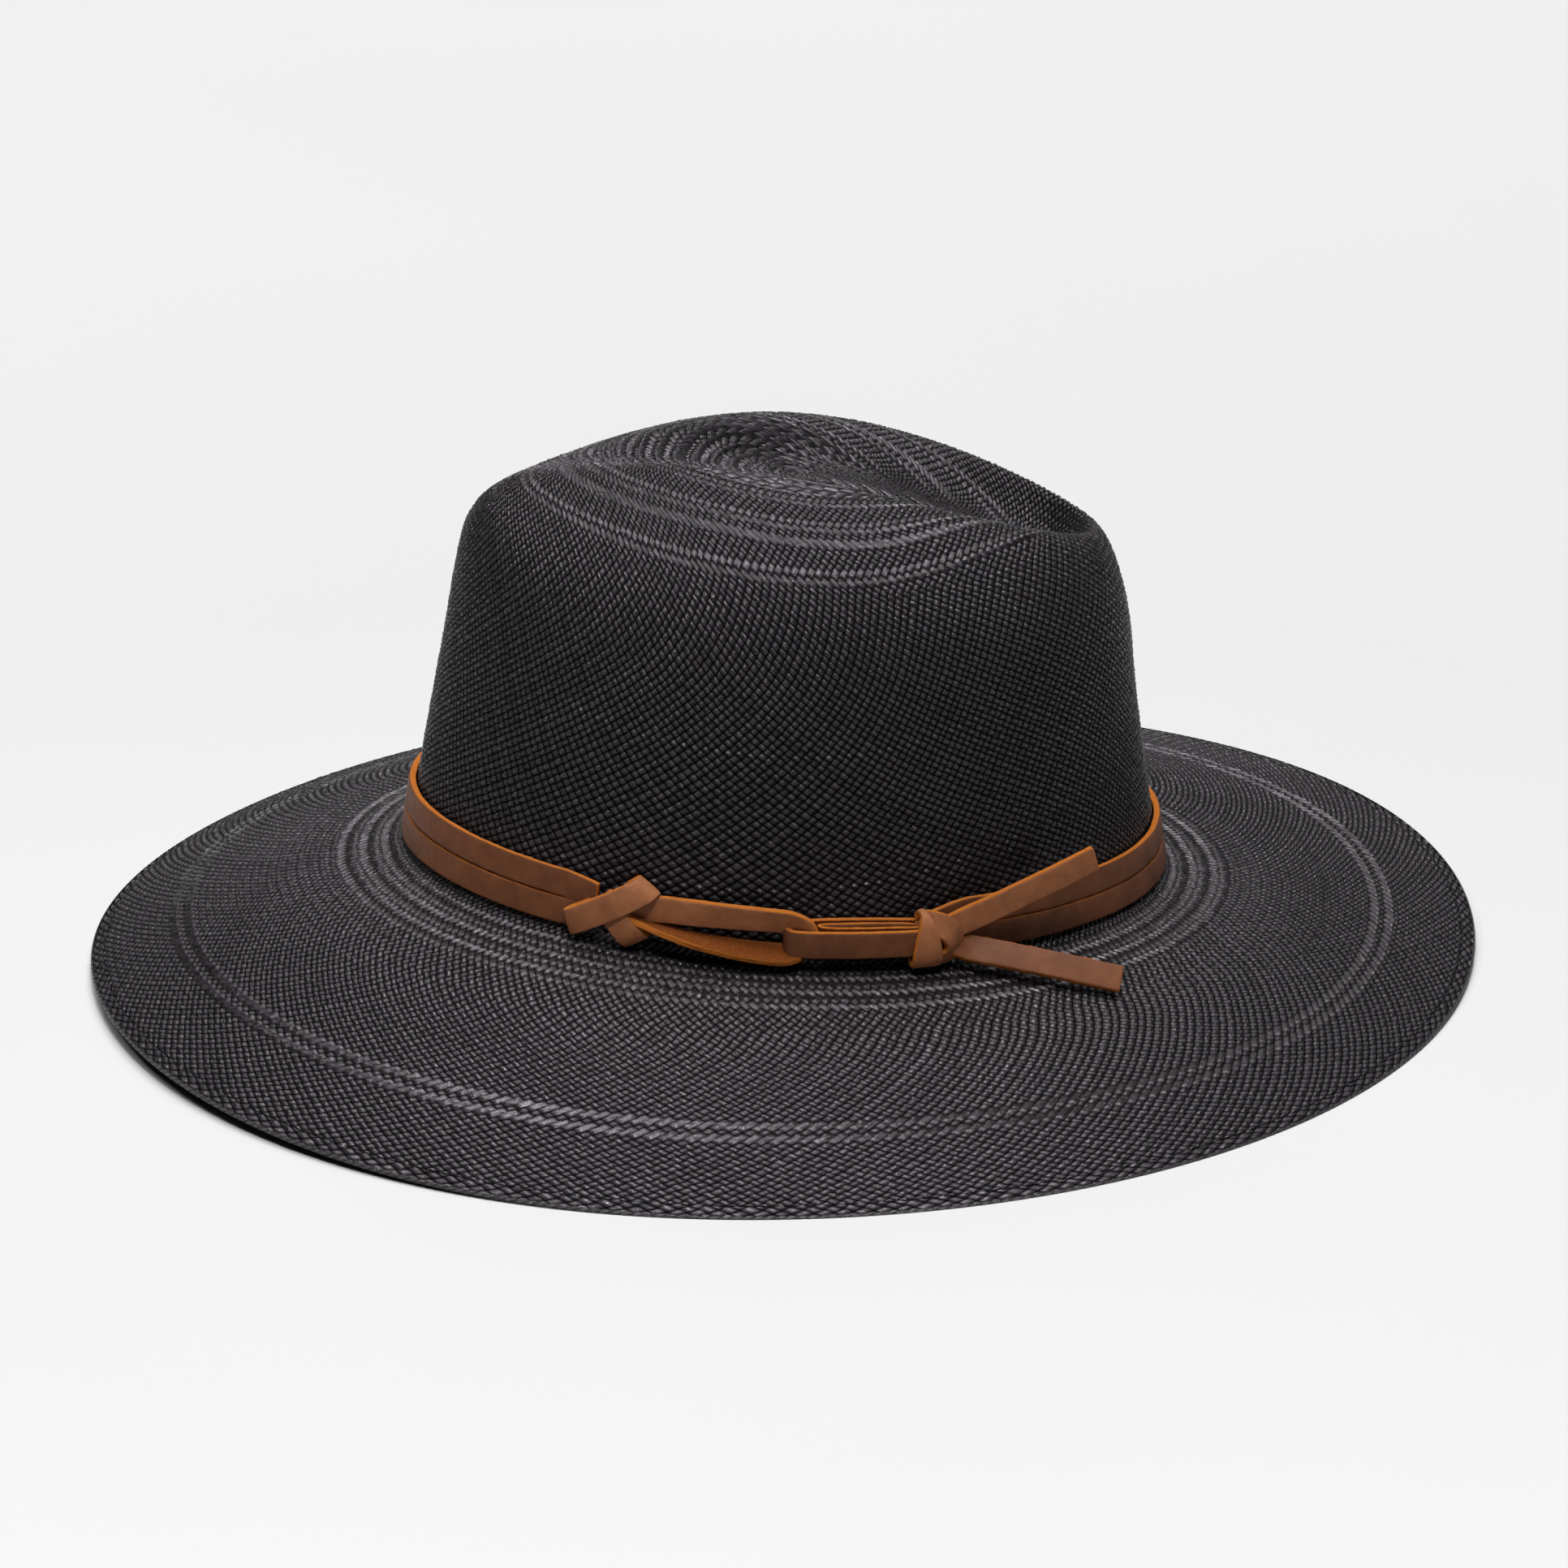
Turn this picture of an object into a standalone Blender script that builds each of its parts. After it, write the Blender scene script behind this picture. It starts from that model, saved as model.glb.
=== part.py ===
"""Panama hat: a dark woven straw body with a tied leather lace round the crown and a sweatband inside.

Metres, +Z up. The wearer looks along -Y and the wearer's left is +X. The origin is under the middle of the
hat on the surface that the brim rests on. Angles round the hat start at the front and run towards the
wearer's left, so 90 degrees is the middle of the left side.
"""

import math

import bmesh
import bpy
import numpy as np
from mathutils import Matrix, Vector

MM = 0.001

# Driving dimensions.
BASE_HEIGHT = 28.1 * MM  # mean height of the line where the crown meets the brim
STRAW_THICKNESS = 1.4 * MM
BRIM_HALF_WIDTH = 175.9 * MM
BRIM_HALF_LENGTH = 191.1 * MM
BRIM_DROP = 25.2 * MM  # mean drop from the crown's foot to the brim's edge
BRIM_SIDE_DIP = 2.3 * MM  # the edge dips at both sides and lifts at front and back
BRIM_QUARTER_WAVE = 0.7 * MM
BRIM_CONVEXITY = 0.5  # 0 is a straight slope, 1 leaves the crown level
FOOT_FILLET = 2.2 * MM

# Control rings of the crown from its foot to its middle. A ring at angle a has the point
# x = sin a (half_width + front_gain cos a), y = back_shift - half_length cos a,
# z = height + front_rise cos a + saddle cos 2a, in millimetres from the crown's foot.
CROWN_RINGS = (
    # half_width, front_gain, back_shift, half_length, height, front_rise, saddle
    (83.6, 0.0, 0.0, 105.6, 0.0, 10.7, 0.5),
    (82.0, 0.7, 0.3, 100.0, 30.0, 11.0, 0.5),
    (79.6, -1.2, 1.2, 94.0, 59.0, 13.0, 0.5),
    (76.3, -14.3, 0.5, 91.5, 88.3, 17.0, -3.7),
    (43.2, -39.6, -0.7, 83.2, 107.8, 9.5, -3.9),
    (26.0, -21.8, 2.0, 77.6, 101.5, 22.2, -8.5),
    (21.0, -16.5, 2.0, 57.4, 101.6, 18.2, -2.8),
    (9.0, -3.0, 2.5, 30.0, 104.1, 7.2, -0.4),
    (0.0, 0.0, 2.5, 0.0, 104.1, 0.0, 0.0),
)
PINCH_RING = 3  # the front dents push this ring inwards
PINCH_ANGLE = math.radians(49.6)
PINCH_SPREAD = math.radians(23.0)
PINCH_DEPTH = 3.0 * MM
BRIM_FRACTIONS = (0.03, 0.12, 0.40, 0.72, 1.0)  # control rings of the brim, from the foot out to the edge

COLUMNS = 64
CROWN_ROWS = 22
BRIM_STEPS = (1.0, 0.992, 0.92, 0.8, 0.66, 0.5, 0.34, 0.2, 0.08)  # rows of the brim, from its edge inwards
REST_DEPTH = 0.8 * MM  # how much of the brim's two lowest stretches is pressed flat underneath

GAP = 0.35 * MM  # between pieces that touch

# The lace. Heights are above the crown's foot, angles are in degrees.
LACE_WIDTH = 7.1 * MM
LACE_THICKNESS = 1.9 * MM
LOWER_STRAND_HEIGHT = 0.3 * MM  # of each strand's bottom edge
UPPER_STRAND_HEIGHT = LACE_WIDTH + 0.5 * MM
STRAND_POINTS = 57
LEFT_KNOT_ANGLE = 44.6
LEFT_KNOT_HEIGHT = 8.2 * MM
LEFT_KNOT_TILT = -12.0
LEFT_KNOT_SIZE = (20.0 * MM, 7.0 * MM, 15.0 * MM)  # along the wall, out from it, up
RIGHT_KNOT_ANGLE = 90.8
RIGHT_KNOT_HEIGHT = 6.6 * MM
RIGHT_KNOT_SIZE = (13.0 * MM, 8.0 * MM, 13.5 * MM)
KNOT_ROUNDING = 2.2 * MM
KNOT_STANDOFF = 3 * GAP
STRAND_START = RIGHT_KNOT_ANGLE + 5.2  # the strands run from the right knot round the back to the left knot
STRAND_END = LEFT_KNOT_ANGLE + 360.0 - 7.6
LOOP_START = LEFT_KNOT_ANGLE + 7.4
LOOP_END = LEFT_KNOT_ANGLE + 23.8
LOWER_RUN_WIDTH = 0.7 * LACE_WIDTH
LOWER_RUN_LEAN = 1.7  # the lower run lies over, with its flesh side up
STRIP_END = RIGHT_KNOT_ANGLE - 4.9
STRIP_FOLD = STRIP_END - 14.6
STRIP_STANDOFFS = (1.5 * MM, 6.3 * MM)  # of the folded strip's inner and outer layers
STRIP_HEIGHTS = (5.6 * MM, 5.2 * MM)
SIDE_RADIUS = 95.0 * MM  # of the wall where the strip folds
TAIL_LENGTHS = (42.0 * MM, 43.0 * MM)  # upper and lower

# Inside the crown.
SWEATBAND_FOOT = 1.5 * MM
SWEATBAND_HEIGHT = 32.0 * MM
SWEATBAND_THICKNESS = 1.0 * MM
REED_RADIUS = 1.0 * MM
REED_DROP = 0.2 * MM
THREAD_RADIUS = 0.3 * MM
STITCH_HEIGHT = 4.0 * MM
RING_POINTS = 48
BOW_WIDTH = 26.0 * MM
BOW_HEIGHT = 7.0 * MM
BOW_MIDDLE = SWEATBAND_FOOT + 16.0 * MM
LOOP_THICKNESS = 1.4 * MM
LOOP_RISE = 2.9 * MM
LOOP_PUFF = 0.9 * MM
WRAP_WIDTH = 5.0 * MM
WRAP_HEIGHT = BOW_HEIGHT + 2.0 * MM
WRAP_NEAR, WRAP_FAR = 1.5 * MM, 4.7 * MM
BACK_RADIUS = 98.0 * MM  # from the hat's middle to the sweatband's back
TAG_SIZE = (24.0 * MM, 12.0 * MM)
TAG_ANGLE = 152.0
TAG_HEIGHT = 10.0 * MM
RIBBON_THICKNESS = 0.6 * MM

INSIDE = -(STRAW_THICKNESS + GAP)  # standoff of the first thing inside the straw wall
SWEATBAND_FACE = INSIDE - SWEATBAND_THICKNESS
UP = Vector((0.0, 0.0, 1.0))


def clear_scene():
    for old in list(bpy.data.objects):
        bpy.data.objects.remove(old)


def new_collection(name):
    collection = bpy.data.collections.new(name)
    bpy.context.scene.collection.children.link(collection)
    return collection


def material(name, color, roughness, metallic=0.0):
    made = bpy.data.materials.new(name)
    made.use_nodes = True
    shader = made.node_tree.nodes["Principled BSDF"]
    shader.inputs["Base Color"].default_value = (*color, 1.0)
    shader.inputs["Roughness"].default_value = roughness
    shader.inputs["Metallic"].default_value = metallic
    return made


def add_part(name, mesh, finish, parent=None):
    """Links a mesh as a named part. Its vertices are in world space; a parent at its joint keeps them there."""
    made = bpy.data.objects.new(name, mesh)
    mesh.materials.append(finish)
    PARTS.objects.link(made)
    if parent is not None:
        made.parent = parent
        made.matrix_parent_inverse = parent.matrix_basis.inverted()
    return made


def solidify(made, thickness, offset):
    wall = made.modifiers.new("thickness", "SOLIDIFY")
    wall.thickness = thickness
    wall.offset = offset


def spline_weights(count, steps, degree=3):
    """Weights of a clamped uniform B-spline with so many control points, at each of the steps from 0 to 1."""
    inner = np.linspace(0.0, 1.0, count - degree + 1)
    knots = np.concatenate([np.zeros(degree), inner, np.ones(degree)])
    at = np.clip(steps, 0.0, 1.0 - 1e-9)
    weights = [((at >= low) & (at < high)).astype(float) for low, high in zip(knots[:-1], knots[1:])]
    for order in range(1, degree + 1):
        raised = []
        for i in range(len(weights) - 1):
            total = np.zeros(len(at))
            if knots[i + order] > knots[i]:
                total += (at - knots[i]) / (knots[i + order] - knots[i]) * weights[i]
            if knots[i + order + 1] > knots[i + 1]:
                share = (knots[i + order + 1] - at) / (knots[i + order + 1] - knots[i + 1])
                total += share * weights[i + 1]
            raised.append(total)
        weights = raised
    return np.array(weights)


def crown_ring(index, angles):
    """Control ring of the crown, as points in metres above the resting surface."""
    half_width, front_gain, back_shift, half_length, height, front_rise, saddle = (
        value * MM for value in CROWN_RINGS[index]
    )
    sines, cosines = np.sin(angles), np.cos(angles)
    x = sines * (half_width + front_gain * cosines)
    if index == PINCH_RING:
        turned = np.abs(np.arctan2(sines, cosines))
        x -= np.sign(sines) * PINCH_DEPTH * np.exp(-(((turned - PINCH_ANGLE) / PINCH_SPREAD) ** 2))
    y = back_shift - half_length * cosines
    z = BASE_HEIGHT + height + front_rise * cosines + saddle * np.cos(2 * angles)
    return np.stack([x, y, z], axis=-1)


def brim_edge(angles):
    z = BASE_HEIGHT - BRIM_DROP + BRIM_SIDE_DIP * np.cos(2 * angles) + BRIM_QUARTER_WAVE * np.cos(4 * angles)
    return np.stack([BRIM_HALF_WIDTH * np.sin(angles), -BRIM_HALF_LENGTH * np.cos(angles), z], axis=-1)


def brim_ring(fraction, angles):
    """Control ring of the brim, at this fraction of the way from the crown's foot to the edge."""
    foot, edge = crown_ring(0, angles), brim_edge(angles)
    ring = foot + (edge - foot) * fraction
    fall = (1.0 - BRIM_CONVEXITY) * fraction + BRIM_CONVEXITY * fraction**2
    fillet = FOOT_FILLET * (1.0 - fraction)
    ring[..., 2] = foot[..., 2] + (edge[..., 2] - foot[..., 2]) * fall - fillet
    return ring


def crown_surface(angles, steps):
    """Outer surface of the crown: a row of points at each step, from its foot (0) to its middle (1)."""
    rings = np.array([crown_ring(i, angles) for i in range(len(CROWN_RINGS))])
    return np.einsum("ks,kad->sad", spline_weights(len(rings), np.asarray(steps)), rings)


def brim_surface(angles, steps):
    """Upper surface of the brim: a row of points at each step, from the crown's foot (0) to the edge (1)."""
    rings = np.array([crown_ring(0, angles)] + [brim_ring(f, angles) for f in BRIM_FRACTIONS])
    return np.einsum("ks,kad->sad", spline_weights(len(rings), np.asarray(steps)), rings)


def on_wall(degrees, height, standoff):
    """Point beside the crown's wall, this high above its foot and this far out (inside is negative)."""
    angle = np.array([math.radians(degrees)])
    foot = crown_ring(0, angle)[0]
    half_width, half_length = CROWN_RINGS[0][0], CROWN_RINGS[0][3]
    outward = Vector((math.sin(angle[0]) / half_width, -math.cos(angle[0]) / half_length, 0.0)).normalized()
    low, high = 0.0, 0.5
    for _ in range(30):
        middle = (low + high) / 2
        if crown_surface(angle, [middle])[0, 0, 2] - foot[2] < height:
            low = middle
        else:
            high = middle
    point = crown_surface(angle, [low])[0, 0]
    return Vector((point[0], point[1], foot[2] + height)) + outward * standoff


def outward_at(degrees):
    return (on_wall(degrees, 0.0, 1.0) - on_wall(degrees, 0.0, 0.0)).normalized()


def grid_mesh(name, rows, closed_round):
    """Open surface through rows of points, each row closed into a ring or not."""
    mesh = bpy.data.meshes.new(name)
    cage = bmesh.new()
    verts = [[cage.verts.new(point) for point in row] for row in rows]
    columns = len(verts[0])
    for low, high in zip(verts[:-1], verts[1:]):
        for i in range(columns if closed_round else columns - 1):
            j = (i + 1) % columns
            cage.faces.new((low[i], low[j], high[j], high[i]))
    cage.normal_update()
    cage.to_mesh(mesh)
    cage.free()
    return mesh


def make_woven_body(finish):
    """Crown and brim in one shell, with two short flats where the brim's sides touch the ground.

    Returns how far the ground is above the level that the other pieces are built from.
    """
    angles = np.linspace(0.0, 2 * math.pi, COLUMNS, endpoint=False)
    brim = brim_surface(angles, BRIM_STEPS)
    crown = crown_surface(angles, np.linspace(0.0, 1.0, CROWN_ROWS + 1)[:-1])
    top = crown_surface(angles[:1], [1.0])[0, 0]
    mesh = grid_mesh("woven_body", list(brim) + list(crown), closed_round=True)
    cage = bmesh.new()
    cage.from_mesh(mesh)
    cage.verts.ensure_lookup_table()
    last = cage.verts[-COLUMNS:]
    middle = cage.verts.new(top)
    for i in range(COLUMNS):
        cage.faces.new((last[i], last[(i + 1) % COLUMNS], middle))
    cage.to_mesh(mesh)
    cage.free()
    shell = bpy.data.objects.new("shell", mesh)
    PARTS.objects.link(shell)
    solidify(shell, STRAW_THICKNESS, -1.0)
    bpy.context.view_layer.update()
    graph = bpy.context.evaluated_depsgraph_get()
    solid = bpy.data.meshes.new_from_object(shell.evaluated_get(graph))
    bpy.data.objects.remove(shell)
    lowest = min(vertex.co.z for vertex in solid.vertices)
    ground = lowest + REST_DEPTH
    for vertex in solid.vertices:
        vertex.co.z = max(vertex.co.z, ground) - ground
    solid.name = "woven_body"
    solid.shade_smooth()
    add_part("woven_body", solid, finish)
    return ground


def make_ribbon(name, rows, thickness, finish, closed_round=False, parent=None):
    """Flat strap between two or more lines of points, thickened equally to both sides."""
    made = add_part(name, grid_mesh(name, rows, closed_round), finish, parent)
    solidify(made, thickness, 0.0)


def wall_ribbon(name, start, end, bottom, top, standoff, thickness, steps, finish, parent=None):
    """Strap that lies along the crown's wall between two angles and two heights."""
    turn = np.linspace(start, end, steps)
    closed = abs(end - start) >= 360.0
    if closed:
        turn = turn[:-1]
    rows = [[on_wall(a, height, standoff) for a in turn] for height in (bottom, top)]
    make_ribbon(name, rows, thickness, finish, closed, parent)


def strap(name, stations, width, thickness, finish, parent=None):
    """Strap through stations of (centre, direction across it)."""
    rows = []
    for side in (-width / 2, width / 2):
        rows.append([centre + across.normalized() * side for centre, across in stations])
    make_ribbon(name, rows, thickness, finish, parent=parent)


def make_ring(name, points, radius, finish):
    """Closed round cord through these points."""
    curve = bpy.data.curves.new(name, "CURVE")
    curve.dimensions = "3D"
    curve.bevel_depth = radius
    curve.bevel_resolution = 2
    line = curve.splines.new("POLY")
    line.points.add(len(points) - 1)
    for knot, point in zip(line.points, points):
        knot.co = (*point, 1.0)
    line.use_cyclic_u = True
    curve.materials.append(finish)
    PARTS.objects.link(bpy.data.objects.new(name, curve))


def make_knot(name, degrees, height, size, tilt, finish, parent):
    """Rounded block that holds the knot's place, its flat back just clear of the wall."""
    length, depth, tall = size
    out = outward_at(degrees)
    along = out.cross(UP).normalized()
    up = along.cross(out)
    centre = on_wall(degrees, height, depth / 2 + KNOT_STANDOFF)
    frame = Matrix((along, out, up)).transposed() @ Matrix.Rotation(math.radians(tilt), 3, "Y")
    mesh = bpy.data.meshes.new(name)
    cage = bmesh.new()
    bmesh.ops.create_cube(cage, size=1.0)
    for vertex in cage.verts:
        vertex.co = centre + frame @ Vector((vertex.co.x * length, vertex.co.y * depth, vertex.co.z * tall))
    cage.normal_update()
    cage.to_mesh(mesh)
    cage.free()
    made = add_part(name, mesh, finish, parent)
    rounding = made.modifiers.new("rounding", "BEVEL")
    rounding.width = KNOT_ROUNDING
    rounding.segments = 3


def loop_run(name, start, end, width, lean, finish, parent):
    """One run of the loop, between two pairs of height and standoff, in millimetres."""
    stations = []
    for share in np.linspace(0.0, 1.0, 7):
        degrees = LOOP_START + (LOOP_END - LOOP_START) * share
        height, standoff = ((first + (last - first) * share) * MM for first, last in zip(start, end))
        stations.append((on_wall(degrees, height, standoff), UP + outward_at(degrees) * lean))
    strap(name, stations, width, LACE_THICKNESS, finish, parent)


def make_folded_strip(finish, parent):
    """Strip that comes out of the right knot along the wall, folds over and lies back on itself."""
    (inner, outer), (inner_height, outer_height) = STRIP_STANDOFFS, STRIP_HEIGHTS
    middle, reach = (inner + outer) / 2, (outer - inner) / 2
    stations = [(on_wall(a, inner_height, inner), UP) for a in np.linspace(STRIP_END, STRIP_FOLD, 6)]
    for turn in (45.0, 90.0, 135.0):
        swing = math.radians(turn)
        offset = math.degrees(math.sin(swing) * reach / SIDE_RADIUS)
        height = (inner_height + outer_height) / 2
        stations.append((on_wall(STRIP_FOLD - offset, height, middle - reach * math.cos(swing)), UP))
    stations += [(on_wall(a, outer_height, outer), UP) for a in np.linspace(STRIP_FOLD, STRIP_END, 6)]
    strap("fold_back_strip", stations, LACE_WIDTH, LACE_THICKNESS, finish, parent)


def make_tail(name, place, heading, facing, length, finish):
    """Square-cut end of the lace, straight out of the right knot, on an empty at the bend where it leaves it.

    place is degrees past the knot's middle, height and standoff. heading and facing are backwards, up and out.
    """
    shift, height, standoff = place
    side = outward_at(RIGHT_KNOT_ANGLE)
    axes = Matrix((UP.cross(side), UP, side)).transposed()
    direction = (axes @ Vector(heading)).normalized()
    across = (axes @ Vector(facing)).cross(direction)
    root = on_wall(RIGHT_KNOT_ANGLE + shift, height * MM, standoff * MM)
    pivot = bpy.data.objects.new(name + "_axis", None)
    PARTS.objects.link(pivot)
    pivot.location = root
    stations = [(root, across), (root + direction * length, across)]
    strap(name, stations, LACE_WIDTH, LACE_THICKNESS, finish, pivot)


def make_lace(finish):
    """The doubled lace, cut into its strands, knots, loop, folded strip and two tails."""
    carrier = bpy.data.objects.new("tie_band_axis", None)
    PARTS.objects.link(carrier)
    standoff = GAP + LACE_THICKNESS / 2
    for name, bottom in (("lower_strand", LOWER_STRAND_HEIGHT), ("upper_strand", UPPER_STRAND_HEIGHT)):
        wall_ribbon(name, STRAND_START, STRAND_END, bottom, bottom + LACE_WIDTH, standoff, LACE_THICKNESS,
                    STRAND_POINTS, finish, carrier)
    make_knot("left_knot", LEFT_KNOT_ANGLE, LEFT_KNOT_HEIGHT, LEFT_KNOT_SIZE, LEFT_KNOT_TILT, finish, carrier)
    make_knot("right_knot", RIGHT_KNOT_ANGLE, RIGHT_KNOT_HEIGHT, RIGHT_KNOT_SIZE, 0.0, finish, carrier)
    loop_run("loop_upper_run", (10.2, 2.0), (10.6, 4.2), LACE_WIDTH, 0.0, finish, carrier)
    loop_run("loop_lower_run", (2.6, 3.6), (1.0, 5.2), LOWER_RUN_WIDTH, LOWER_RUN_LEAN, finish, carrier)
    make_folded_strip(finish, carrier)
    upper_length, lower_length = TAIL_LENGTHS
    make_tail("upper_tail", (4.9, 11.0, 6.4), (1.0, 0.36, 0.04), (0.0, 0.0, 1.0), upper_length, finish)
    make_tail("lower_tail", (5.1, 3.0, 7.2), (0.86, -0.20, 0.42), (0.0, 0.58, 0.80), lower_length, finish)


def make_sweatband(leather, reed, thread):
    """Leather band with the reed that stiffens its foot and the line of stitches above it."""
    wall_ribbon("sweatband", 0.0, 360.0, SWEATBAND_FOOT, SWEATBAND_FOOT + SWEATBAND_HEIGHT,
                INSIDE - SWEATBAND_THICKNESS / 2, SWEATBAND_THICKNESS, COLUMNS + 1, leather)
    turn = np.linspace(0.0, 360.0, RING_POINTS, endpoint=False)
    reed_line = [on_wall(a, 0.0, INSIDE - REED_RADIUS) - UP * REED_DROP for a in turn]
    make_ring("sweatband_reed", reed_line, REED_RADIUS, reed)
    stitch_line = [on_wall(a, STITCH_HEIGHT, SWEATBAND_FACE - GAP - THREAD_RADIUS) for a in turn]
    make_ring("sweatband_stitching", stitch_line, THREAD_RADIUS, thread)


def make_bow(ribbon):
    """Flat ribbon bow over the sweatband's seam at the back, and the wrap round its middle."""
    half_bow = math.degrees(BOW_WIDTH / 2 / BACK_RADIUS)
    loops = []
    for share in np.linspace(-1.0, 1.0, 9):
        rise = LOOP_RISE + LOOP_PUFF * math.sin(math.pi * share) ** 2
        loops.append((on_wall(180.0 + half_bow * share, BOW_MIDDLE, SWEATBAND_FACE - rise), UP))
    strap("bow_loops", loops, BOW_HEIGHT, LOOP_THICKNESS, ribbon)
    inward = -outward_at(180.0)
    face = on_wall(180.0, BOW_MIDDLE, SWEATBAND_FACE)
    along = UP.cross(inward)
    half_tall = WRAP_HEIGHT / 2
    corners = ((WRAP_NEAR, half_tall), (WRAP_NEAR, -half_tall), (WRAP_FAR, -half_tall), (WRAP_FAR, half_tall))
    ring = [face + inward * depth + UP * tall for depth, tall in corners]
    rows = [[point + along * side * WRAP_WIDTH / 2 for point in ring] for side in (-1, 1)]
    make_ribbon("bow_wrap", rows, RIBBON_THICKNESS, ribbon, closed_round=True)


def make_size_tag(finish):
    """Blank woven tag on the inner face of the sweatband."""
    width, tall = TAG_SIZE
    half_turn = math.degrees(width / 2 / BACK_RADIUS)
    wall_ribbon("size_tag", TAG_ANGLE - half_turn, TAG_ANGLE + half_turn, TAG_HEIGHT, TAG_HEIGHT + tall,
                SWEATBAND_FACE - GAP - RIBBON_THICKNESS / 2, RIBBON_THICKNESS, 5, finish)


def lower_everything(distance):
    """Brings the ground under the brim to z = 0. The woven body is already there."""
    for made in PARTS.objects:
        if made.name != "woven_body" and made.parent is None:
            made.location.z -= distance


clear_scene()
PARTS = new_collection("panama_hat")
ground_level = make_woven_body(material("straw", (0.018, 0.016, 0.018), 0.42))
make_lace(material("brown_leather", (0.19, 0.085, 0.042), 0.5))
make_sweatband(
    material("sweatband_leather", (0.02, 0.017, 0.016), 0.55),
    material("reed_plastic", (0.03, 0.028, 0.028), 0.35),
    material("black_thread", (0.012, 0.012, 0.013), 0.7),
)
make_bow(material("black_ribbon", (0.015, 0.015, 0.016), 0.6))
make_size_tag(material("tag_fabric", (0.62, 0.6, 0.55), 0.85))
lower_everything(ground_level)
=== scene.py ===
"""Looks of the panama hat: its woven straw, the tied leather lace and the sweatband inside.

Metres, +Z up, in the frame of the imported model. The wearer looks along -Y and the wearer's left is +X.
"""

import math

import bpy
import numpy as np
from mathutils import Matrix, Vector


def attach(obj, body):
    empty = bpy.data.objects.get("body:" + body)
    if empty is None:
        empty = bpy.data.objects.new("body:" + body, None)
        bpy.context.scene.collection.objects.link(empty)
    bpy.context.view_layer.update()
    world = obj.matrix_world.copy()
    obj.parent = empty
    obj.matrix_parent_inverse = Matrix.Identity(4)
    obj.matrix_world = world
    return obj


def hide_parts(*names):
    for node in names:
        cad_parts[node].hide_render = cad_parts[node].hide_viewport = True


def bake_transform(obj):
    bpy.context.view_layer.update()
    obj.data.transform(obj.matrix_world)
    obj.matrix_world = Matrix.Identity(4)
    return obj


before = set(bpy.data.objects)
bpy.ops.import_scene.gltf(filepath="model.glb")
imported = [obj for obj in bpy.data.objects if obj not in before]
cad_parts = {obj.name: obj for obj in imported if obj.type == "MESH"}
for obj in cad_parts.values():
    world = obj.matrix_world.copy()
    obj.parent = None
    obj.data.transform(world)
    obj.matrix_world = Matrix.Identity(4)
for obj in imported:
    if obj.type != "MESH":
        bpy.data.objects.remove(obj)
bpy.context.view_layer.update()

MM = 0.001
UP = np.array((0.0, 0.0, 1.0))

# The hat's shape, as in the CAD model.
BASE_HEIGHT = 28.1 * MM
STRAW_THICKNESS = 1.4 * MM
BRIM_HALF_WIDTH = 175.9 * MM
BRIM_HALF_LENGTH = 191.1 * MM
BRIM_DROP = 25.2 * MM
BRIM_SIDE_DIP = 2.3 * MM
BRIM_QUARTER_WAVE = 0.7 * MM
BRIM_CONVEXITY = 0.5
FOOT_FILLET = 2.2 * MM
CROWN_RINGS = (
    # half_width, front_gain, back_shift, half_length, height, front_rise, saddle
    (83.6, 0.0, 0.0, 105.6, 0.0, 10.7, 0.5),
    (82.0, 0.7, 0.3, 100.0, 30.0, 11.0, 0.5),
    (79.6, -1.2, 1.2, 94.0, 59.0, 13.0, 0.5),
    (76.3, -14.3, 0.5, 91.5, 88.3, 17.0, -3.7),
    (43.2, -39.6, -0.7, 83.2, 107.8, 9.5, -3.9),
    (26.0, -21.8, 2.0, 77.6, 101.5, 22.2, -8.5),
    (21.0, -16.5, 2.0, 57.4, 101.6, 18.2, -2.8),
    (9.0, -3.0, 2.5, 30.0, 104.1, 7.2, -0.4),
    (0.0, 0.0, 2.5, 0.0, 104.1, 0.0, 0.0),
)
PINCH_RING = 3
PINCH_ANGLE = math.radians(49.6)
PINCH_SPREAD = math.radians(23.0)
PINCH_DEPTH = 3.0 * MM
BRIM_FRACTIONS = (0.03, 0.12, 0.40, 0.72, 1.0)
GROUND = 0.7224 * MM  # the ground's height in the formulas above

# The weave.
SEED = 7
RELIEF = 0.66 * MM  # from the bottom of a groove to the top of a straw
LINE_SHARES = (0.0, 0.15, 0.5, 0.85)  # mesh lines across one straw
ACROSS_HEIGHTS = (0.0, 0.86, 1.0, 0.86)
END_HEIGHT = 0.48  # of a straw just before it dips under another
GROOVE_HEIGHT = 0.05
TILT = 0.28  # how unevenly a straw lies from one crossing to the next
TABLE_ANGLES = 360
TABLE_STEPS = 500
NUDGE = 2e-3  # to either side for a surface's slope, in radians and as a share
STRAW_LIFT = -0.57 * MM  # of the grooves' floor from the CAD surface
LINING_LINES = (0.0, 0.5)
LINING_HEIGHTS = (0.0, 1.0)
STRAW_JITTER = 0.10  # how far straws differ in width
DOUBLED_SHARE = 0.18  # of the straws are two thin ones side by side
DOUBLED_HEIGHT = 0.72  # between the two
GOLDEN_STEP = 0.6180339887
RIM_STEPS = 2400
RIM_FACETS = 9
RIM_WRAPS = 440
RIM_RELIEF = 0.12 * MM
MIDDLE_STEPS = 24  # of the small knot of straw in the crown's middle
MIDDLE_SHARES = (0.0001, 0.0025, 0.0055, 0.0085)
MIDDLE_DROPS = (0.0, 0.05 * MM, 0.25 * MM, 0.55 * MM)
# Dark end of the straw's colour, for its darker tones and for painted shade in the grooves.
DARK_STRAW_AND_GROOVE_SHADE = (0.0015, 0.0013, 0.0016)
STRAW_COLOUR = (0.0115, 0.0094, 0.0115)
STRAW_SHINE = (1.0, 0.93, 1.0)

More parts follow.
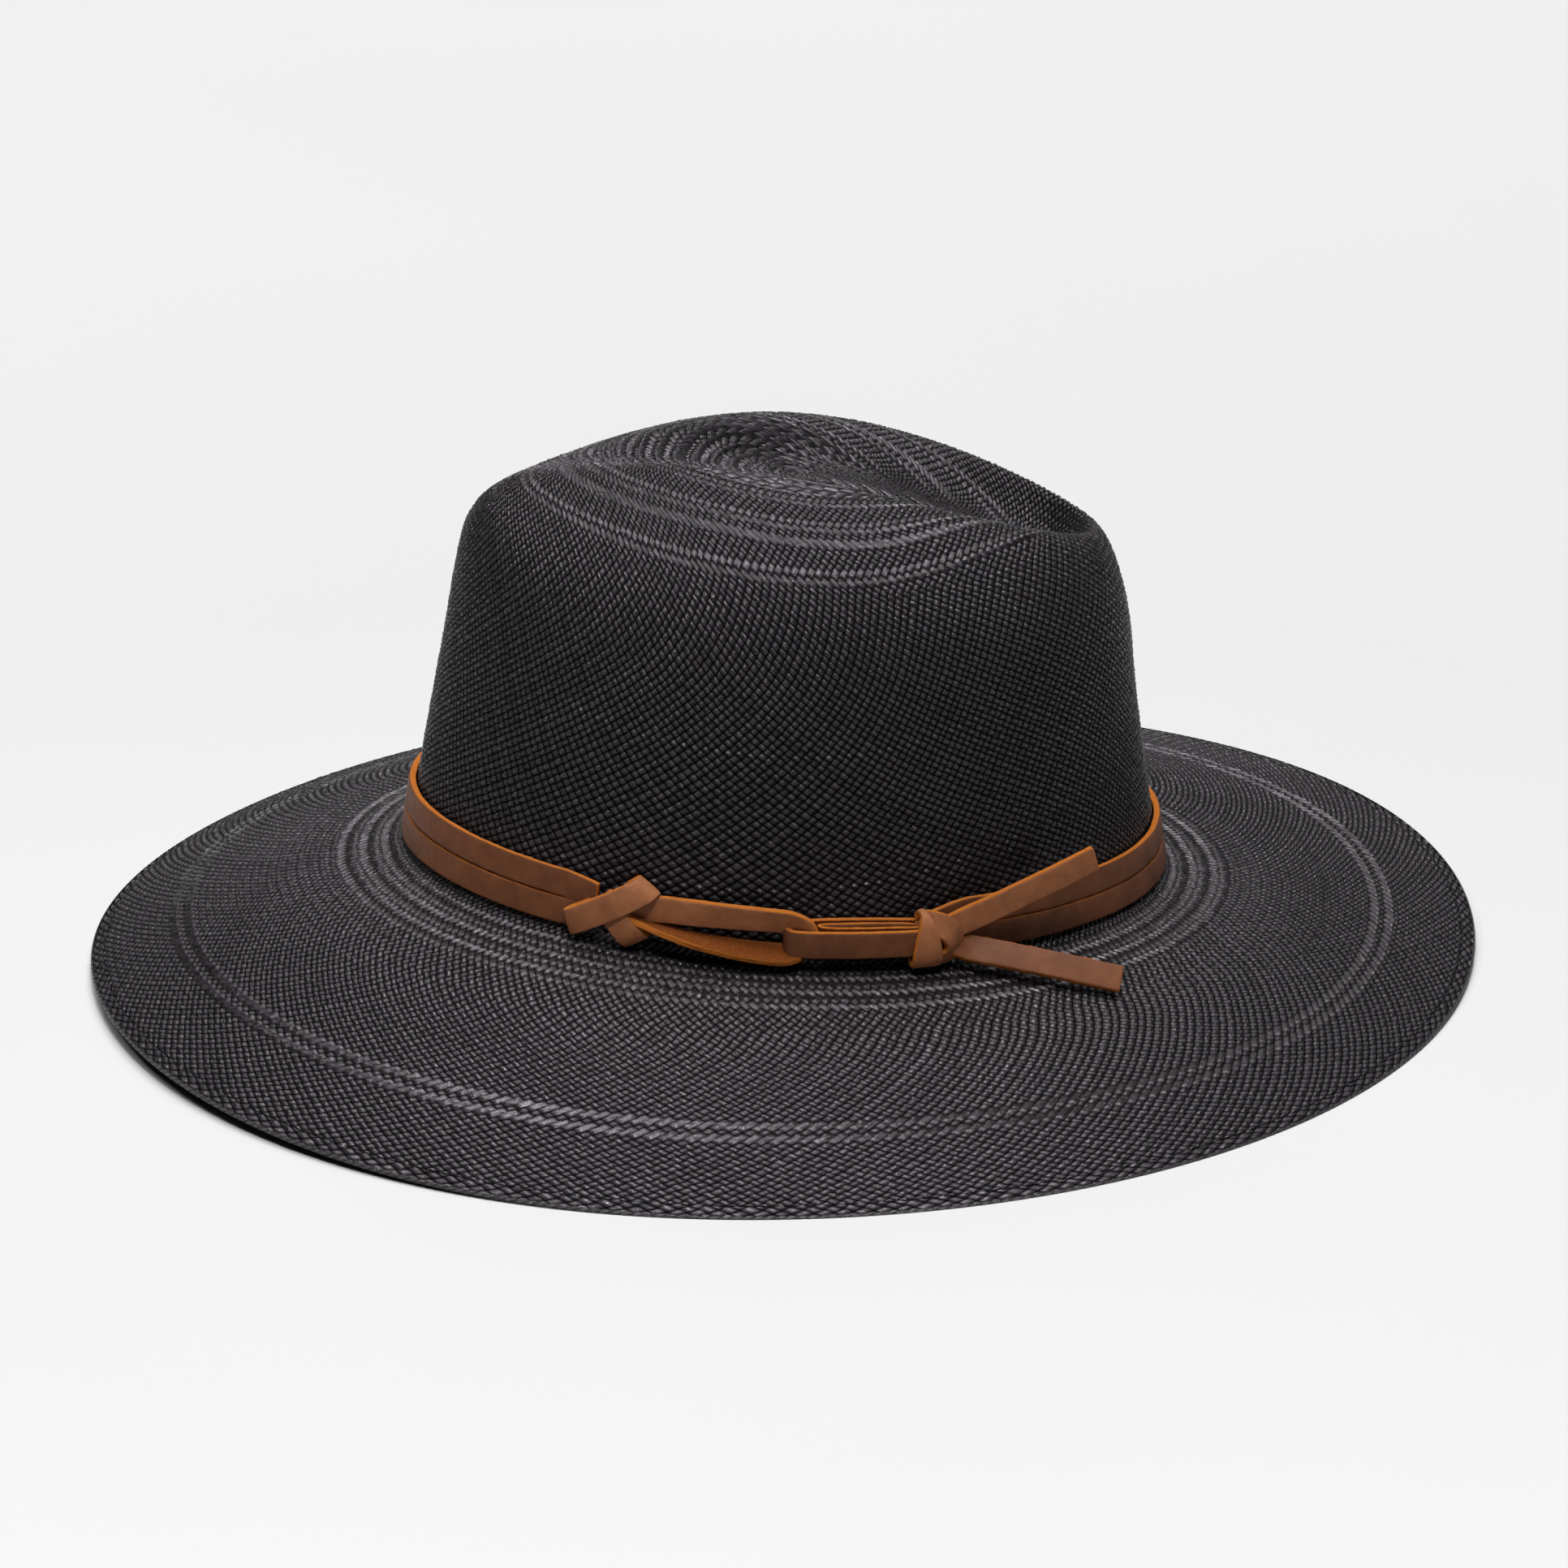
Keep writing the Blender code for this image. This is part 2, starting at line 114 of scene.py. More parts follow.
# Zones of the weave: where each starts, as a share of the way outwards, its straws a family and its row
# spacing in millimetres.
CROWN_ZONES = ((0.005, 14, 1.0), (0.028, 28, 1.1), (0.060, 54, 1.2), (0.120, 100, 1.25), (0.236, 206, 1.29))
BRIM_ZONES = ((0.0, 300, 1.25), (0.962, 230, 1.15))
CROWN_CHEVRONS = ((0.02, 0.06), (0.085, 0.15), (0.17, 0.262), (0.292, 0.318), (0.334, 0.356), (0.372, 0.396))
BRIM_CHEVRONS = ((0.0, 0.02), (0.045, 0.21), (0.664, 0.690), (0.722, 0.742), (0.805, 0.826), (0.985, 1.0))
BRIM_ROW_SHARES = (0.0, 0.06, 0.10, 0.36, 0.48, 0.96, 0.965, 1.0)
BRIM_ROW_SPACINGS = (0.95, 1.3, 1.55, 1.55, 1.12, 1.03, 1.15, 1.15)
# Angles are in degrees round from the front towards the wearer's left.
CROWN_LEANS = ((2.0, 68.0, -0.50), (115.0, 75.0, 0.42))  # middle, reach, and sideways run for each step down
CROWN_LEAN_SHARES = (0.434, 0.72)  # where the wall begins, and where the straws are not displaced
CROWN_SAG = (50.0, 80.0, 0.105)  # middle, reach, and how far the rows hang down
CROWN_SAG_SHARES = (0.25, 0.54)
BRIM_TWIST = 0.085  # in all, from the crown's foot to the edge
BRIM_BEND = (0.33, 0.55)  # where that turn starts and over what share it grows
WANDER_WAVES = 6
CROWN_WANDER = 0.007
BRIM_WANDER = 0.003
ZONE_STEPS = 60  # places in each zone where its row spacing is read

# The lace. Heights are above the crown's foot and angles are in degrees.
GAP = 0.35 * MM
LACE_WIDTH = 7.1 * MM
LACE_THICKNESS = 1.9 * MM
INNER_THICKNESS = 1.35 * MM
LOWER_STRAND_HEIGHT = 0.3 * MM
UPPER_STRAND_HEIGHT = 7.6 * MM
LEFT_KNOT_ANGLE = 44.6
LEFT_KNOT_HEIGHT = 8.2 * MM
RIGHT_KNOT_ANGLE = 90.8
RIGHT_KNOT_HEIGHT = 6.6 * MM
STRAND_START = RIGHT_KNOT_ANGLE + 5.2
STRAND_END = LEFT_KNOT_ANGLE + 360.0 - 7.6
STRAND_TUCK = 4.5  # how far the strands run on into the knots
STRAND_CLOSING = 2.0  # how far before a knot a strand starts to close up, in degrees
STRAND_LIFT = 0.9 * MM  # of its ends, away from the crown
STRAND_WAVES = ((0.18 * MM, 3.0, 1.0), (0.12 * MM, 7.0, 0.0))  # size, waves a turn and start
STRAND_STEPS = 760
RIGHT_KNOT_PULL = 0.55  # how far a strand's end goes towards the knot's own height
LEFT_KNOT_PULL = 0.45
STRIP_FOLD = RIGHT_KNOT_ANGLE - 19.5
TAIL_LENGTHS = (38.5 * MM, 40.0 * MM)  # upper and lower
STRAIGHT_UP = (0, 1, 0, 1.0)  # direction across (along, up, out), and the full width
LACE_STEP = 0.6 * MM
LACE_CORNER = 0.42 * MM
LACE_CROWNING = 0.09 * MM  # the middle of a face stands this proud
LACE_WAVE = 0.035 * MM
RAW_ROUGHNESS = 0.085 * MM
GRAIN_WAVER = 0.008 * MM
END_BEVEL = 0.2 * MM
END_SHRINK = 0.94
GRAIN_DARK = (0.245, 0.087, 0.034)
GRAIN_LIGHT = (0.380, 0.144, 0.060)
GRAIN_PORE = (0.060, 0.021, 0.008)
SUEDE_DARK = (0.10, 0.027, 0.006)
SUEDE_LIGHT = (0.22, 0.064, 0.015)
RAW_DARK = (0.22, 0.058, 0.009)
RAW_LIGHT = (0.64, 0.21, 0.038)

# Inside the crown. The sweatband's numbers without a unit are in millimetres.
SIDE_RADIUS = 95.0 * MM
SWEATBAND_FOOT = 1.5
SWEATBAND_HEIGHT = 32.0
SWEATBAND_STANDOFFS = (-1.75, -2.75)
BAND_STEPS = 720
REED_RADIUS = 1.0
REED_SIDES = 12
REED_HEIGHT = -0.2
REED_STANDOFF = -2.75
STITCHES = 184
STITCH_HEIGHT = 4.0
STITCH_STANDOFF = -3.0
STITCH_RADIUS = 0.30
STITCH_RINGS = 7
STITCH_SIDES = 6
STITCH_LENGTH = 2.4 * MM
BOW_HEIGHT = 7.0 * MM
BOW_MIDDLE = 17.5 * MM
WRAP_WIDTH = 5.0 * MM
RIBBON_THICKNESS = 0.5 * MM
RIBBON_CORNER = 0.16 * MM
TAG_SIZE = (24.0 * MM, 12.0 * MM)
TAG_ANGLE = 152.0
TAG_HEIGHT = 10.0 * MM
TAG_THICKNESS = 0.45 * MM
SWEAT_DARK, SWEAT_LIGHT = (0.012, 0.010, 0.0095), (0.030, 0.025, 0.023)
REED_DARK, REED_LIGHT = (0.018, 0.016, 0.016), (0.036, 0.033, 0.033)
THREAD_DARK, THREAD_LIGHT = (0.008, 0.008, 0.009), (0.022, 0.022, 0.024)
RIBBON_DARK, RIBBON_LIGHT = (0.009, 0.009, 0.010), (0.022, 0.022, 0.024)
TAG_DARK, TAG_LIGHT = (0.52, 0.50, 0.45), (0.68, 0.66, 0.61)

# The studio and the camera.
TARGET = Vector((0.0, 0.0, 27.38 * MM))
CAMERA_AZIMUTH = 66.0  # from the hat's front towards the wearer's left
CAMERA_ELEVATION = 22.06
CAMERA_ROLL = 0.37
CAMERA_DISTANCE = 1.4
LENS = 117.59
SHIFT = (-0.00298, 0.03524)
FLOOR_REACH = 6.0
FLOOR_HEIGHT = -0.05 * MM
FLOOR_NEAR = 0.50
FLOOR_FAR = 0.84
FLOOR_RISE = (0.3, 3.2)  # metres from the hat between which the floor goes from the one to the other
WORLD_LIGHT = 0.02
LAMPS = (
    # name, azimuth from +X, elevation, distance, size, power
    ("overhead", 156.0, 84.0, 4.6, (3.4, 3.4), 282.0),
    ("behind", 156.0, 40.0, 4.6, (3.7, 1.7), 29.0),
    ("right_front", -20.0, 60.0, 1.9, (0.3, 0.3), 19.0),
    ("left_side", -112.0, 56.0, 1.9, (0.3, 0.3), 5.5),
)


def spline_weights(count, steps, degree=3):
    """Weights of a clamped uniform B-spline with so many control points, at each of the steps from 0 to 1."""
    inner = np.linspace(0.0, 1.0, count - degree + 1)
    knots = np.concatenate([np.zeros(degree), inner, np.ones(degree)])
    at = np.clip(steps, 0.0, 1.0 - 1e-9)
    weights = [((at >= low) & (at < high)).astype(float) for low, high in zip(knots[:-1], knots[1:])]
    for order in range(1, degree + 1):
        raised = []
        for i in range(len(weights) - 1):
            total = np.zeros(at.shape)
            if knots[i + order] > knots[i]:
                total += (at - knots[i]) / (knots[i + order] - knots[i]) * weights[i]
            if knots[i + order + 1] > knots[i + 1]:
                share = (knots[i + order + 1] - at) / (knots[i + order + 1] - knots[i + 1])
                total += share * weights[i + 1]
            raised.append(total)
        weights = raised
    return np.array(weights)


def crown_ring(index, angles):
    """Control ring of the crown at these angles."""
    half_width, front_gain, back_shift, half_length, height, front_rise, saddle = (
        value * MM for value in CROWN_RINGS[index]
    )
    sines, cosines = np.sin(angles), np.cos(angles)
    x = sines * (half_width + front_gain * cosines)
    if index == PINCH_RING:
        turned = np.abs(np.arctan2(sines, cosines))
        x -= np.sign(sines) * PINCH_DEPTH * np.exp(-(((turned - PINCH_ANGLE) / PINCH_SPREAD) ** 2))
    y = back_shift - half_length * cosines
    z = BASE_HEIGHT - GROUND + height + front_rise * cosines + saddle * np.cos(2 * angles)
    return np.stack([x, y, z], axis=-1)


def brim_edge(angles):
    z = BASE_HEIGHT - GROUND - BRIM_DROP
    z = z + BRIM_SIDE_DIP * np.cos(2 * angles) + BRIM_QUARTER_WAVE * np.cos(4 * angles)
    return np.stack([BRIM_HALF_WIDTH * np.sin(angles), -BRIM_HALF_LENGTH * np.cos(angles), z], axis=-1)


def brim_ring(fraction, angles):
    """Control ring of the brim, at this fraction of the way from the crown's foot to the edge."""
    foot, edge = crown_ring(0, angles), brim_edge(angles)
    ring = foot + (edge - foot) * fraction
    fall = (1.0 - BRIM_CONVEXITY) * fraction + BRIM_CONVEXITY * fraction**2
    ring[..., 2] = foot[..., 2] + (edge[..., 2] - foot[..., 2]) * fall - FOOT_FILLET * (1.0 - fraction)
    return ring


def through_rings(rings, steps):
    return np.einsum("k...,k...d->...d", spline_weights(len(rings), steps), np.stack(rings))


def crown_points(angles, steps):
    """Outer surface of the crown at pairs of angle and step, from its foot (0) to its middle (1)."""
    return through_rings([crown_ring(i, angles) for i in range(len(CROWN_RINGS))], steps)


def brim_points(angles, steps):
    """Upper surface of the brim at pairs of angle and step, from the crown's foot (0) to the edge (1)."""
    return through_rings([crown_ring(0, angles)] + [brim_ring(f, angles) for f in BRIM_FRACTIONS], steps)


class Sheet:
    """One of the two woven surfaces, with places on it given by angle and by share of the way outwards.

    A share is measured along the surface, so that rows of straw are evenly spaced. The crown's run from its
    middle (0) to its foot (1), and the brim's from the crown's foot (0) to its edge (1).
    """

    def __init__(self, points, outwards):
        self.points = points
        self.outwards = outwards
        steps = np.linspace(0.0, 1.0, TABLE_STEPS + 1)
        turns = np.linspace(0.0, 2 * math.pi, TABLE_ANGLES + 1)
        lines = points(*np.meshgrid(turns, steps, indexing="ij"))
        lengths = np.linalg.norm(np.diff(lines, axis=1), axis=2).cumsum(axis=1)
        lengths = np.concatenate([np.zeros((len(turns), 1)), lengths], axis=1)
        self.length = float(lengths[:-1, -1].mean())
        self.table = np.empty_like(lengths)
        for row, line in enumerate(lengths):
            shares = line / line[-1]
            if outwards:
                self.table[row] = np.interp(steps, shares, steps)
            else:
                self.table[row] = np.interp(steps, (1.0 - shares)[::-1], steps[::-1])

    def step(self, angles, shares):
        """The surface's own step for a share of the way outwards, from the table, evenly blended."""
        turn = np.mod(angles, 2 * math.pi) / (2 * math.pi) * TABLE_ANGLES
        along = np.clip(shares, 0.0, 1.0) * TABLE_STEPS
        column = np.minimum(turn.astype(int), TABLE_ANGLES - 1)
        row = np.minimum(along.astype(int), TABLE_STEPS - 1)
        u, v = turn - column, along - row
        low = self.table[column, row] * (1 - v) + self.table[column, row + 1] * v
        high = self.table[column + 1, row] * (1 - v) + self.table[column + 1, row + 1] * v
        return low * (1 - u) + high * u

    def at(self, angles, shares):
        """Points and outward normals."""
        steps = self.step(angles, shares)
        points = self.points(angles, steps)
        low, high = np.clip(steps - NUDGE, 0.0, 1.0), np.clip(steps + NUDGE, 0.0, 1.0)
        along = self.points(angles, high) - self.points(angles, low)
        short = np.minimum(steps, 0.995)  # of the crown's middle, where all directions meet
        around = self.points(angles + NUDGE, short) - self.points(angles - NUDGE, short)
        normals = np.cross(around, along) * (-1.0 if self.outwards else 1.0)
        normals /= np.maximum(np.linalg.norm(normals, axis=-1, keepdims=True), 1e-12)
        return points, normals


def wander(angles, shares, size, seed):
    """Slow waves over the sheet, so that its straws don't run perfectly evenly."""
    draws = np.random.default_rng(seed)
    total = np.zeros(np.broadcast(angles, shares).shape)
    for _ in range(WANDER_WAVES):
        around, outwards = draws.integers(1, 9), draws.uniform(2.0, 14.0)
        total += np.sin(around * angles + outwards * shares + draws.uniform(0.0, 2 * math.pi))
    return total * size / 3.0


def hump(angles, middle, reach):
    """One at the middle and none beyond the reach on both sides, in degrees."""
    away = np.abs((np.degrees(angles) - middle + 180.0) % 360.0 - 180.0)
    return np.cos(np.clip(away / reach, 0.0, 1.0) * math.pi / 2) ** 2


def crown_twist(angles, shares):
    """How far the straws are turned round the hat from where even rays would be."""
    lean = sum(size * hump(angles, middle, reach) for middle, reach, size in CROWN_LEANS)
    start, still = CROWN_LEAN_SHARES
    return lean * (np.maximum(shares, start) - still) * 2.0 + wander(angles, shares, CROWN_WANDER, SEED)


def crown_sag(angles, shares):
    """How far the rows hang down on the front of the crown."""
    middle, reach, size = CROWN_SAG
    ramp = np.clip((shares - CROWN_SAG_SHARES[0]) / (CROWN_SAG_SHARES[1] - CROWN_SAG_SHARES[0]), 0.0, 1.0)
    return size * hump(angles, middle, reach) * ramp * ramp * (3.0 - 2.0 * ramp)


def brim_twist(angles, shares):
    start, reach = BRIM_BEND
    bend = np.clip((shares - start) / reach, 0.0, 1.0)
    turn = BRIM_TWIST * (0.6 * np.sin(bend * math.pi / 2) + 0.4 * bend)
    return turn + wander(angles, shares, BRIM_WANDER, SEED + 1)


class Weave:
    """Lattice of two straw families on a sheet, which cross at a slant, with rows of crossings round the hat.

    Row r holds the crossings whose straw numbers differ by r. The family on top is the same all along a row:
    it changes from row to row in plain weave, and every second row in a chevron band.
    """

    def __init__(self, sheet, zones, chevrons, spacing, twist, sag=None):
        self.sheet = sheet
        self.twist = twist
        self.sag = sag
        self.zones = []
        ends = [zone[0] for zone in zones[1:]] + [1.0]
        row = 0.0
        for (start, count, zone_spacing), end in zip(zones, ends):
            shares = np.linspace(start, end, ZONE_STEPS)
            if spacing is not None:
                gaps = np.interp(shares, *spacing)
            else:
                gaps = np.full(ZONE_STEPS, zone_spacing)
            middle = (gaps[1:] + gaps[:-1]) / 2 * MM
            rows = row + np.concatenate([[0.0], (np.diff(shares) * sheet.length / middle).cumsum()])
            whole = round(rows[-1])
            rows = row + (rows - row) * (whole - row) / (rows[-1] - row)
            self.zones.append((count, rows, shares))
            row = float(whole)
        index = np.arange(int(row) + 5) - 2
        _, rows, shares = zip(*self.zones)
        centre_shares = np.interp(index, np.concatenate(rows), np.concatenate(shares))
        family = index % 2
        for low, high in chevrons:
            inside = (centre_shares >= low) & (centre_shares <= high)
            family = np.where(inside, (index // 2) % 2, family)
        self.family = family  # 0 where family A is on top and 1 where B is, from row -2

    def on_top(self, row):
        return self.family[np.clip(row + 2, 0, len(self.family) - 1)]

    def rows_in(self, zone):
        rows = self.zones[zone][1]
        return int(rows[0]), int(rows[-1])

    def patch(self, zone, low_row, high_row, lines=LINE_SHARES, across_heights=ACROSS_HEIGHTS, flip=False):
        """Vertices, quads and quad facts of the part of a zone between two rows."""
        count, rows, shares = self.zones[zone]
        first_row, last_row = self.rows_in(zone)
        n = len(lines)
        spread = np.arange(low_row * n - 1, high_row * n + (2 if high_row == last_row else 1))
        width = n * count
        d, p = np.meshgrid(spread, np.arange(width), indexing="ij")
        q = p - d
        i, j = p // n, q // n
        mp, mq = p % n, q % n
        draws = np.random.default_rng(SEED + 11 * zone + count)
        edges_a, edges_b = draws.uniform(-STRAW_JITTER, STRAW_JITTER, (2, count))
        heights_a, heights_b = draws.uniform(0.84, 1.08, (2, count))
        tilts = draws.uniform(-TILT, TILT, (count, count))
        split_a, split_b = np.where(draws.uniform(size=(2, count)) < DOUBLED_SHARE, DOUBLED_HEIGHT, 1.0)
        place = np.array(lines)

        def along_lattice(cell, mark, edges):
            low, high = edges[cell % count], edges[(cell + 1) % count]
            return cell + place[mark] * (1.0 + high - low) + low

        a = along_lattice(i, mp, edges_a)
        b = along_lattice(j, mq, edges_b)
        row = a - b
        share = np.interp(np.clip(row, first_row, last_row), rows, shares)
        angle = (a + b) / 2 * (2 * math.pi / count)
        if self.sag is not None:
            share = share + self.sag(angle, share)
        angle = angle + self.twist(angle, share)

        across = np.array(across_heights)
        r = i - j
        top, before, after = self.on_top(r), self.on_top(r - 1), self.on_top(r + 1)
        is_a = top == 0
        cross, lengthwise = np.where(is_a, mp, mq), np.where(is_a, mq, mp)
        # Family A runs along b, so its next crossing is in the row before. Family B runs along a.
        next_same = np.where(is_a, before == 0, after == 1)
        last_same = np.where(is_a, after == 0, before == 1)
        bend = np.ones(r.shape)
        if n == len(LINE_SHARES):
            bend = np.where((lengthwise == 1) & ~last_same, END_HEIGHT, bend)
            bend = np.where((lengthwise == n - 1) & ~next_same, END_HEIGHT, bend)
        split = np.where(is_a, split_a[i % count], split_b[j % count])
        strength = np.where(is_a, heights_a[i % count], heights_b[j % count])
        side = np.where(cross == 1, 1.0, np.where(cross == n - 1, -1.0, 0.0)) * (n == len(LINE_SHARES))
        strength = strength * (1.0 + side * tilts[i % count, j % count])
        inner = across[cross] * bend * np.where(cross == n // 2, split, 1.0) * strength
        a_line = np.where((before == 1) & (top == 1), across[mq] * heights_b[j % count], GROOVE_HEIGHT)
        b_line = np.where((after == 0) & (top == 0), across[mp] * heights_a[i % count], GROOVE_HEIGHT)
        rise = np.where(mp == 0, np.where(mq == 0, 0.0, a_line), np.where(mq == 0, b_line, inner))
        rise = np.where((row <= first_row) | (row >= last_row), GROOVE_HEIGHT, rise)

        points, normals = self.sheet.at(angle, share)
        if flip:
            points = points - normals * STRAW_THICKNESS
            normals = -normals
        points = points + normals * (rise * RELIEF + STRAW_LIFT)[..., None]
        if flip:
            points[..., 2] = np.maximum(points[..., 2], 0.0)

        columns = np.arange(width)
        following = np.roll(columns, -1)
        base = np.arange(1, len(spread) - 1)[:, None] * width
        corners = (base + columns, base + width + following, base + following, base - width + columns)
        quads = np.stack(corners, axis=-1).reshape(-1, 4)
        quad_row = row.reshape(-1)[quads]
        kept = ~((quad_row <= first_row).all(axis=1) | (quad_row >= last_row).all(axis=1))
        kept &= (share.reshape(-1)[quads] < 1.0).any(axis=1)
        facts = {"i": i, "j": j, "top": top, "p": mp, "q": mq}
        facts = {name: value[1:-1].reshape(-1)[kept] for name, value in facts.items()}
        return {
            "points": points.reshape(-1, 3),
            "rise": rise.reshape(-1),
            "quads": quads[kept][:, ::-1] if flip else quads[kept],
            "count": count,
            "flip": flip,
            "lines": place,
            **facts,
        }


def straw_corners(patch):
    """For each corner of each quad: place across the straw, place along it and the straw's own number."""
    count, lines = patch["count"], np.append(patch["lines"], 1.0)
    is_a = (patch["top"] == 0)[:, None]
    p, q = patch["p"], patch["q"]
    at_p = np.stack([lines[p], lines[p + 1], lines[p + 1], lines[p]], axis=-1)
    at_q = np.stack([lines[q], lines[q], lines[q + 1], lines[q + 1]], axis=-1)
    if patch["flip"]:
        at_p, at_q = at_p[:, ::-1], at_q[:, ::-1]
    across = np.where(is_a, at_p, at_q)
    along = np.where(is_a, at_q + patch["j"][:, None], at_p + patch["i"][:, None])
    number = np.where(patch["top"] == 0, patch["i"] % count, patch["j"] % count + count)
    number = (number * GOLDEN_STEP) % 1.0
    return np.stack([across, along, np.repeat(number[:, None], 4, axis=1)], axis=-1).reshape(-1, 3)


def ring_quads(count, around):
    """Quads between rings of so many points, which lie one after another."""
    grid = np.arange(count * around).reshape(count, around)
    after = np.roll(grid, -1, axis=1)
    return np.stack([grid[:-1], after[:-1], after[1:], grid[1:]], axis=-1).reshape(-1, 4)


def joined(parts):
    """Points and quads of several parts, as one."""
    starts = np.cumsum([0] + [len(part["points"]) for part in parts[:-1]])
    quads = [part["quads"] + start for part, start in zip(parts, starts)]
    return np.concatenate([part["points"] for part in parts]), np.concatenate(quads)


def mesh_of(name, points, quads, floats=None, vectors=None):
    """Smooth mesh from points and quads, with named numbers at its points and vectors at its corners."""
    used = np.zeros(len(points), bool)
    used[quads] = True
    new_index = np.cumsum(used) - 1
    quads = new_index[quads]
    points = points[used]
    mesh = bpy.data.meshes.new(name)
    mesh.vertices.add(len(points))
    mesh.vertices.foreach_set("co", points.astype(np.float32).reshape(-1))
    mesh.loops.add(quads.size)
    mesh.loops.foreach_set("vertex_index", quads.astype(np.int32).reshape(-1))
    mesh.polygons.add(len(quads))
    mesh.polygons.foreach_set("loop_start", np.arange(0, quads.size, 4, dtype=np.int32))
    mesh.update(calc_edges=True)
    mesh.shade_smooth()
    for attribute, values in (floats or {}).items():
        made = mesh.attributes.new(attribute, "FLOAT", "POINT")
        made.data.foreach_set("value", values[used].astype(np.float32))
    for attribute, values in (vectors or {}).items():
        made = mesh.attributes.new(attribute, "FLOAT_VECTOR", "CORNER")
        made.data.foreach_set("vector", values.astype(np.float32).reshape(-1))
    return mesh


def add_piece(name, mesh, finish, body, replaced=()):
    """Puts a mesh in the scene as a piece that rides on a body."""
    made = bpy.data.objects.new(name, mesh)
    bpy.context.scene.collection.objects.link(made)
    mesh.materials.append(finish)
    if body is not None:
        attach(made, body)
    if replaced:
        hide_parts(*replaced)
    return made


def add_straw(name, patches, finish, replaced=()):
    rises = np.concatenate([patch["rise"] for patch in patches])
    corners = np.concatenate([straw_corners(patch) for patch in patches])
    mesh = mesh_of(name, *joined(patches), {"rise": rises}, {"straw": corners})
    add_piece(name, mesh, finish, "hat", replaced)


class Finish:
    """A node material, built up in short calls. Values may be numbers, colours or another node's output."""

    def __init__(self, name):
        self.material = bpy.data.materials.new(name)
        self.material.use_nodes = True
        self.tree = self.material.node_tree
        self.tree.nodes.clear()
        self.shader = self.node("ShaderNodeBsdfPrincipled")
        output = self.node("ShaderNodeOutputMaterial")
        self.tree.links.new(self.shader.outputs["BSDF"], output.inputs["Surface"])

    def feed(self, target, value):
        if isinstance(value, bpy.types.NodeSocket):
            self.tree.links.new(value, target)
        elif isinstance(value, tuple) and len(value) == 3 and target.type == "RGBA":
            target.default_value = (*value, 1.0)
        else:
            target.default_value = value

    def node(self, kind, settings=None, **values):
        made = self.tree.nodes.new(kind)
        for name, value in (settings or {}).items():
            setattr(made, name, value)
        for name, value in values.items():
            self.feed(made.inputs[name.replace("_", " ")], value)
        return made

    def math(self, operation, first, second=0.0, third=0.0):
        made = self.node("ShaderNodeMath", {"operation": operation})
        for target, value in zip(made.inputs, (first, second, third)):
            self.feed(target, value)
        return made.outputs[0]

    def scale_range(self, value, from_low, from_high, to_low, to_high):
        limits = {"From_Min": from_low, "From_Max": from_high, "To_Min": to_low, "To_Max": to_high}
        return self.node("ShaderNodeMapRange", None, Value=value, **limits).outputs["Result"]

    def spread(self, noise, low, high):
        """A noise's values, most of which are near a half, spread from low to high."""
        return self.scale_range(noise, 0.3, 0.7, low, high)

    def mix(self, share, first, second, blend_type="MIX"):
        made = self.node("ShaderNodeMix", {"data_type": "RGBA", "blend_type": blend_type})
        for target, value in zip((made.inputs[0], made.inputs[6], made.inputs[7]), (share, first, second)):
            self.feed(target, value)
        return made.outputs[2]

    def attribute(self, name, output="Fac"):
        return self.node("ShaderNodeAttribute", {"attribute_name": name}).outputs[output]

    def join(self, x, y, z):
        return self.node("ShaderNodeCombineXYZ", None, X=x, Y=y, Z=z).outputs[0]

    def split(self, vector):
        return self.node("ShaderNodeSeparateXYZ", None, Vector=vector).outputs

    def place(self, scale=1.0):
        """The point's place on the piece, in metres times the scale."""
        place = self.node("ShaderNodeTexCoord").outputs["Object"]
        return self.node("ShaderNodeVectorMath", {"operation": "SCALE"}, Vector=place, Scale=scale).outputs[0]

    def noise(self, vector, scale, detail=2.0, roughness=0.5):
        values = {"Vector": vector, "Scale": scale, "Detail": detail, "Roughness": roughness}
        return self.node("ShaderNodeTexNoise", None, **values).outputs["Fac"]

    def bump(self, height, distance, strength=1.0, under=None):
        made = self.node("ShaderNodeBump", None, Height=height, Distance=distance, Strength=strength)
        if under is not None:
            self.feed(made.inputs["Normal"], under)
        return made.outputs[0]

    def surface(self, **values):
        for name, value in values.items():
            self.feed(self.shader.inputs[name.replace("_", " ")], value)
        return self.material


